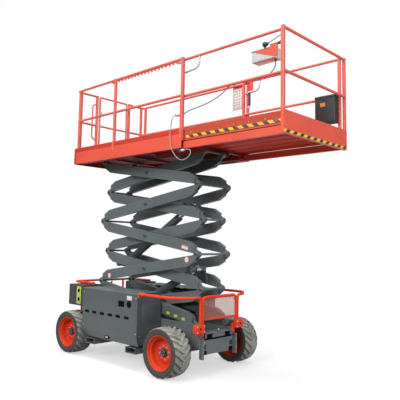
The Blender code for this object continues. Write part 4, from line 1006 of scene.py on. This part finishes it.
# roll-out deck rails
extFloor, extTop = deck["extFloor"], deck["top"] + 0.010
for sideName, side in bothSides:
    form = Form()
    y, rear, front = side * deck["extPostY"], deck["x"][1] - 0.062, deck["extFront"] - 0.061
    for z in railLevels:
        form.pipe([(rear, y, z), (front, y, z)], deck["extTube"], 0, 24)
    addPost(form, rear, y, extFloor - 0.0175, extTop)
    addPost(form, front, y, extFloor + 0.0005, extTop)
    makePiece("rollOutRail" + sideName.title(), form, "rail black", "extension",
              "extension_rail_" + sideName)
form = Form()
x, half = deck["extFront"] - 0.020, deck["half"] - 0.020
for z in railLevels:
    form.pipe([(x, -half, z), (x, half, z)], deck["extTube"], 0, 24)
for y in (-half, half):
    addPost(form, x, y, deck["toe"] + 0.0005, extTop)
    form.heads([(x + 0.0145, y, z) for z in (3.36, 3.55, 3.90, 4.12)], (1, 0, 0), 0.008, 0.005, 6, 2)
makePiece("rollOutRailFront", form, "rail black zinc", "extension", "extension_rail_front")
print("rails ready")


# roll-out deck trim: hazard stripes, folded edges and bolts

trim = {"front": 2.806, "stripe": (3.180, 3.219), "folds": np.arange(-2.5, 3.0) * foldPitch}
toe, tip = deck["toe"], deck["extFront"] - 0.006
form = Form()
for side in (-1, 1):
    y = side * deck["extHalf"]
    form.block((1.262, trim["front"]), (y, y + side * 0.0012), trim["stripe"], 0.0004)
makePiece("sideHazardStripe", form, "stripeX", "extension")
form = Form()
for side in (-1, 1):
    y = side * deck["extHalf"]
    form.pipe([(1.235, y - side * 0.002, toe), (trim["front"], y - side * 0.002, toe)], 0.0045, 0, 12)
    form.block((1.232, trim["front"]), (y - side * 0.003, y + side * 0.006), (3.1520, 3.1600), 0.003)
    form.block((1.150, 1.2385), (y - side * 0.004, y), (3.1525, 3.3090), 0.001)
    bolts = [(x, y + side * 0.0005, 3.245) for x in np.arange(1.36, 2.80, 0.24)]
    form.heads(bolts, (0, side, 0), 0.007, 0.004, 12, 1)
form.pipe([(tip, -0.752, toe), (tip, 0.752, toe)], 0.0055, 0, 12)
makePiece("rollOutTrim", form, "orange zinc", "extension")
form = Form()
for y in trim["folds"]:
    form.block((1.240, 2.790), around(y, 0.030), (3.1530, 3.1562), 0.0015)
makePiece("rollOutFolds", form, "rollOutSheet", "extension")

# latch strip and grab handles

latch = {"x": (-0.359, 1.132), "z": (4.262, 4.276), "tip": 4.240, "teeth": 20, "width": 0.0373}
form = Form()
(rear, front), low, y = latch["x"], latch["z"][0], -deck["postY"]
form.block(latch["x"], around(y, 0.003), latch["z"], 0.001)
for k in range(latch["teeth"]):
    x = rear + (k + 0.25) * (front - rear) / latch["teeth"]
    form.block((x, x + latch["width"]), around(y, 0.003), (latch["tip"], low + 0.003), 0.002)
form.block((front - 0.012, front + 0.055), around(y, 0.005), (4.225, low), 0.003, 1)
makePiece("latchStrip", form, "orange zinc", "platform")

handle = {
    "x": 1.4718, "nut": [(0.0005, 0), (0.017, 0), (0.017, 0.012), (0.011, 0.016), (0.0005, 0.016)],
    "grip": [(0.0005, 0), (0.016, 0), (0.018, 0.006), (0.018, 0.200), (0.016, 0.206), (0.0005, 0.206)],
}
for sideName, side in bothSides:
    form = Form()
    x, y = handle["x"], side * deck["extPostY"]
    line = [(1.1800, y, 4.101), (1.4368, y, 4.121), (x, y, 4.191), (x, y, 4.291)]
    form.pipe(bent(line, 0.050, 9), 0.0105, 0, 16)
    form.turn(handle["nut"], (x, y, 4.270), "z", 18, 0, -1)
    if side > 0:  # the far handle has a black grip and a bracket below it
        form.turn(handle["grip"], (1.293, y - 0.022, 3.900), "z", 20, 1)
        form.block((1.283, 1.355), (y - 0.012, y - 0.006), (4.135, 4.270), 0.002, 2)
        for z in ((3.860, 3.900), (4.108, 4.130)):
            form.block((1.262, 1.300), (y - 0.030, y - 0.008), z, 0.003, 3)
    makePiece("grabHandle" + sideName.title(), form, "galvanised black orange pale", "extension")
print("platform ready")


# control station

station = {
    "x": (2.318, 2.662), "y": (-0.6620, -0.5120), "z": (3.986, 4.120), "front": 2.705,
    "gland": (2.622, -0.585, 3.9605),
    "stick": [(0.0005, 0), (0.030, 0), (0.026, 0.012), (0.014, 0.022), (0.009, 0.060), (0.0005, 0.062)],
    "knob": [(0.0005, 0), (0.034, 0), (0.036, 0.006), (0.030, 0.030), (0.012, 0.066), (0.0005, 0.070)],
    "switch": [(0.0005, 0), (0.014, 0), (0.014, 0.010), (0.0005, 0.012)],
    "glandTurned": [(0.0005, 0.028), (0.0140, 0.028), (0.0140, 0.016), (0.0120, 0.014), (0.0085, 0.002),
                    (0.0075, 0.0), (0.0005, 0.0)],
    # each rod's start, and the height of its far end
    "rods": (((2.515, -0.587, 4.212), 4.236), ((2.545, -0.592, 4.165), 4.160)),
}


# a rounded box with a wedge on its outer side, and turned profiles for the stick, its knob and the switches
def makeStation():
    form = Form()
    (x0, x1), (z0, z1), (y0, y1), front = station["x"], station["z"], station["y"], station["front"]
    form.block((x0, x1), (y0 + 0.006, y1), (z0, z1), 0.009)
    form.block((x0 + 0.014, x1 - 0.014), (y0 + 0.018, y1 - 0.010), (z0 - 0.002, z0 + 0.004), 0.002, 5)
    # the bracket's side plate: a wedge that deepens to the front, with a dark folded top edge
    wedge = [(x0 + 0.030, z1 - 0.004), (2.586, z1 - 0.098), (front, z1 - 0.132), (front, z1 + 0.036),
             (2.600, z1 + 0.036), (2.585, z1 + 0.004), (x0 + 0.030, z1 + 0.004)]
    form.plate(wedge, y0 + 0.0004, y0 + 0.0050, "y", 1, 0.0008)
    form.block((x0, 2.590), (y0, y1 + 0.004), (z1 - 0.0005, z1 + 0.007), 0.002, 2)
    form.block((2.590, front), (y0, y0 + 0.060), (z1 + 0.032, z1 + 0.039), 0.002, 2)
    form.block((x0 - 0.012, x0 + 0.004), (y1 - 0.040, y1 + 0.004), around(z1, 0.006), 0.002, 2)
    form.block((2.700, 2.7675), (y0 - 0.006, y0 + 0.004), (z1 + 0.014, z1 + 0.030), 0.002, 2)
    # joystick with its boot, two rods to the front post, and switches on the top
    form.turn(station["stick"], (2.470, y0 + 0.075, z1 + 0.006), "z", 24, 2)
    form.turn(station["knob"], (2.452, y0 + 0.075, z1 + 0.088), "x", 24, 2)
    for start, height in station["rods"]:
        form.pipe([start, (2.7675, -0.672, height)], 0.0045, 2, 12)
    for k, (dx, dy) in enumerate(((0.040, 0.035), (0.095, 0.035), (0.040, 0.110), (0.095, 0.110))):
        form.turn(station["switch"], (x0 + dx, y0 + dy, z1 + 0.006), "z", 20, 2 if k else 3)
    # gland under the box, where the control cable leaves
    form.turn(station["glandTurned"], station["gland"], "z", 24, 2)
    finish = "pale orange black redLabel zinc palePlate"
    makePiece("controlStation", form, finish, "extension", "control_box")


makeStation()

documentBox = {"y": 0.6623, "straps": (2.520, 2.710)}
form = Form()
y = documentBox["y"]
form.block((2.484, 2.780), (y - 0.108, y), (3.400, 3.752), 0.012)
form.block((2.480, 2.784), (y - 0.110, y), (3.744, 3.790), 0.010)
form.block((2.566, 2.640), (y - 0.1092, y - 0.105), (3.636, 3.690), 0.0015, 1)
form.block((2.610, 2.654), (y - 0.113, y - 0.104), (3.722, 3.756), 0.003)
for x in documentBox["straps"]:
    form.block(around(x, 0.012), (y - 0.030, y + 0.0002), (3.786, 3.7899), 0.001, 2)
makePiece("documentBox", form, "black warning zinc", "extension", "document_box")

notice = {"x": (0.898, 1.115), "y": 0.7510, "z": (3.905, 4.296),
          "marks": (0.915, 3.925), "pitch": (0.050, 0.045)}
form = Form()
y = notice["y"]
mark, frameY = (y - 0.0002, y + 0.0010), (y - 0.0010, y + 0.0032)
form.block(notice["x"], (y + 0.0003, y + 0.0030), notice["z"], 0.001)
form.block((0.906, 1.107), mark, (4.245, 4.280), 0.0003, 2)
for i in range(4):
    for j in range(7):
        x, z = [first + k * pitch for first, k, pitch in zip(notice["marks"], (i, j), notice["pitch"])]
        form.block((x, x + 0.025), mark, (z, z + 0.023), 0.0003, 1)
for x in ((0.896, 0.902), (1.111, 1.117)):
    form.block(x, frameY, (3.903, 4.298), 0.0008, 3)
for z in (3.903, 4.292):
    form.block((0.896, 1.117), frameY, (z, z + 0.006), 0.0008, 3)
makePiece("noticePlate", form, "white paleMark redLabel dark", "platform", "sign_board")
print("stations ready")


# small fittings on the arms: pin heads with keeper plates, and blank plates

arm = {
    "span": 2.195, "rest": math.radians(12.9), "rear": -0.986, "base": 0.640, "outerY": 0.3125,
    "innerY": 0.2045, "width": 0.075, "stages": 5, "rounds": ((-0.758, 1.222), (0.979, 1.540)),
    "patches": ((0.628, 0.770), (0.783, 0.743), (0.934, 0.718)),
}
arm["front"] = arm["rear"] + arm["span"] * math.cos(arm["rest"])
arm["rise"] = arm["span"] * math.sin(arm["rest"])


# a turned head with a keeper plate half as thick across it
def addPinHead(form, x, y, z, side, radius, tall=0.010):
    head = [(0.0003, -0.002), (radius, -0.002), (radius, tall * 0.6), (radius * 0.8, tall * 0.9),
            (0.0003, tall)]
    form.turn(head, (x, y, z), "y", 24, 0, side)
    form.block(around(x, radius * 1.5), (y, y + side * tall * 0.45), around(z, 0.007), 0.002)


for stage in range(1, arm["stages"] + 1):
    low = arm["base"] + (stage - 1) * arm["rise"]
    for kind in ("outer", "inner"):
        climbs = stage % 2 == (0 if kind == "outer" else 1)
        topX = arm["front"] if climbs else arm["rear"]
        form = Form()
        for side in (-1, 1):
            face = side * (arm[kind + "Y"] + arm["width"] / 2)
            if kind == "outer" or stage < arm["stages"]:
                addPinHead(form, topX, face + side * 0.0055, low + arm["rise"], side, 0.019)
            if kind == "inner":
                middle, y = (arm["front"] + arm["rear"]) / 2, arm["outerY"] + arm["width"] / 2 + 0.012
                addPinHead(form, middle, side * y, low + arm["rise"] / 2, side, 0.022, 0.004)
        makePiece("%sPinHeads%d" % (kind, stage), form, "dark", "%s_arms_%d" % (kind, stage))

# yellow patches on the lowest outer arm
form = Form()
face = -(arm["outerY"] + arm["width"] / 2)
for x, z in arm["patches"]:
    form.block(around(x, 0.032), (face, face - 0.0012), around(z, 0.019), 0.0005)
makePiece("armYellowPatches", form, "yellow", "outer_arms_1")
# blank plates on the outer faces of two arms: two rings on the second, a tag on the third
form = Form()
for x, z in arm["rounds"]:
    for slot, r, tall in ((1, 0.047, 0.0010), (0, 0.035, 0.0016)):
        plate = [(0.0005, 0), (r, 0), (r, tall), (0.0005, tall + 0.0002)]
        form.turn(plate, (x, face, z), "y", 40, slot, -1)
makePiece("armRoundPlates", form, "white redLabel", "outer_arms_2")
form = Form()
tag = [(0.872, 1.702), (0.996, 1.674), (1.004, 1.708), (0.880, 1.736)]
band = [(0.880, 1.7361), (1.004, 1.7081), (1.0085, 1.727), (0.8845, 1.755)]
for slot, outline in enumerate((tag, band)):
    form.plate(outline, face - 0.0010, face, "y", slot)
makePiece("armTag", form, "white tagBand", "outer_arms_3")
# blank label on the rear cabinet's outer face, with its two round pads dark with painted shade
form = Form()
face = -0.7815
form.block((-1.030, -0.915), (face + 0.0012, face), (0.780, 1.050), 0.0005)
for z in (0.850, 0.985):
    form.turn([(0.0005, 0), (0.030, 0), (0.028, 0.004), (0.0005, 0.005)], (-0.972, face, z), "y", 28, 1, -1)
makePiece("cabinetLabel", form, "green hollow", "chassis")
print("arm fittings ready")


# stage and light

studio = {
    "reach": 60.0, "level": -0.001, "floor": (0.16, 0.16, 0.16), "seenFloor": (0.90, 0.90, 0.90),
    "sky": [(0.45, (0.08, 0.08, 0.08)), (0.85, (0.80, 0.82, 0.85))],
    "lamps": (("keyLamp", (1.5, -10.0, 7.0), (0, 0, 1.8), 5.0, 820),
              ("fillLamp", (9.5, -1.0, 5.0), (0, 0, 1.8), 5.0, 380),
              ("topLamp", (-1.0, -1.0, 12.0), (0, 0, 2.0), 6.0, 900)),
}


# the floor: dark for the light that bounces, pale where it is seen, and brighter with distance
def makeFloor():
    look = Look("paleFloor", 0.9)
    near = look.node("ShaderNodeVectorMath", {"operation": "LENGTH"}, {0: look.place}, "Value")
    direct = look.rays("Camera", "Glossy")
    look.set("Base Color", look.mix(direct, studio["floor"], studio["seenFloor"]))
    glow = look.node("ShaderNodeEmission", {}, {"Color": (1, 1, 1, 1), "Strength": 1.0})
    share = (look.step(near, 3.0, 9.0) * 0.45 + 0.55) * direct
    paint = Value(look, look.shader.outputs[0])
    mixed = look.node("ShaderNodeMixShader", {}, {0: share, 1: paint, 2: glow})
    look.give(look.tree.nodes["Material Output"].inputs["Surface"], mixed)
    mesh = bpy.data.meshes.new("paleFloor")
    corners = np.array([[-1, -1], [1, -1], [1, 1], [-1, 1]]) * studio["reach"]
    mesh.from_pydata([(x, y, studio["level"]) for x, y in corners], [], [(0, 1, 2, 3)])
    mesh.materials.append(look.material)
    floor = bpy.data.objects.new("paleFloor", mesh)
    bpy.context.scene.collection.objects.link(floor)


# the sky: a ramp from dark to pale with height, and white where the camera sees it
def makeSky():
    room = bpy.data.worlds.new("studio")
    sky = Nodes(room)
    up = sky.part(sky.node("ShaderNodeTexCoord", {}, {}, "Generated"), "z")
    height = sky.step(up, -1.0, 1.0)
    shade = sky.node("ShaderNodeValToRGB", {"stops": studio["sky"]}, {"Fac": height}, "Color")
    back = sky.tree.nodes["Background"]
    sky.give(back.inputs["Color"], sky.mix(sky.rays("Camera", "Transmission"), shade, (1, 1, 1)))
    back.inputs["Strength"].default_value = 1.0
    bpy.context.scene.world = room


makeFloor()
makeSky()
for lamp in studio["lamps"]:
    makeLamp(*lamp)
bpy.context.scene.view_settings.view_transform = "Standard"
print("stage ready")
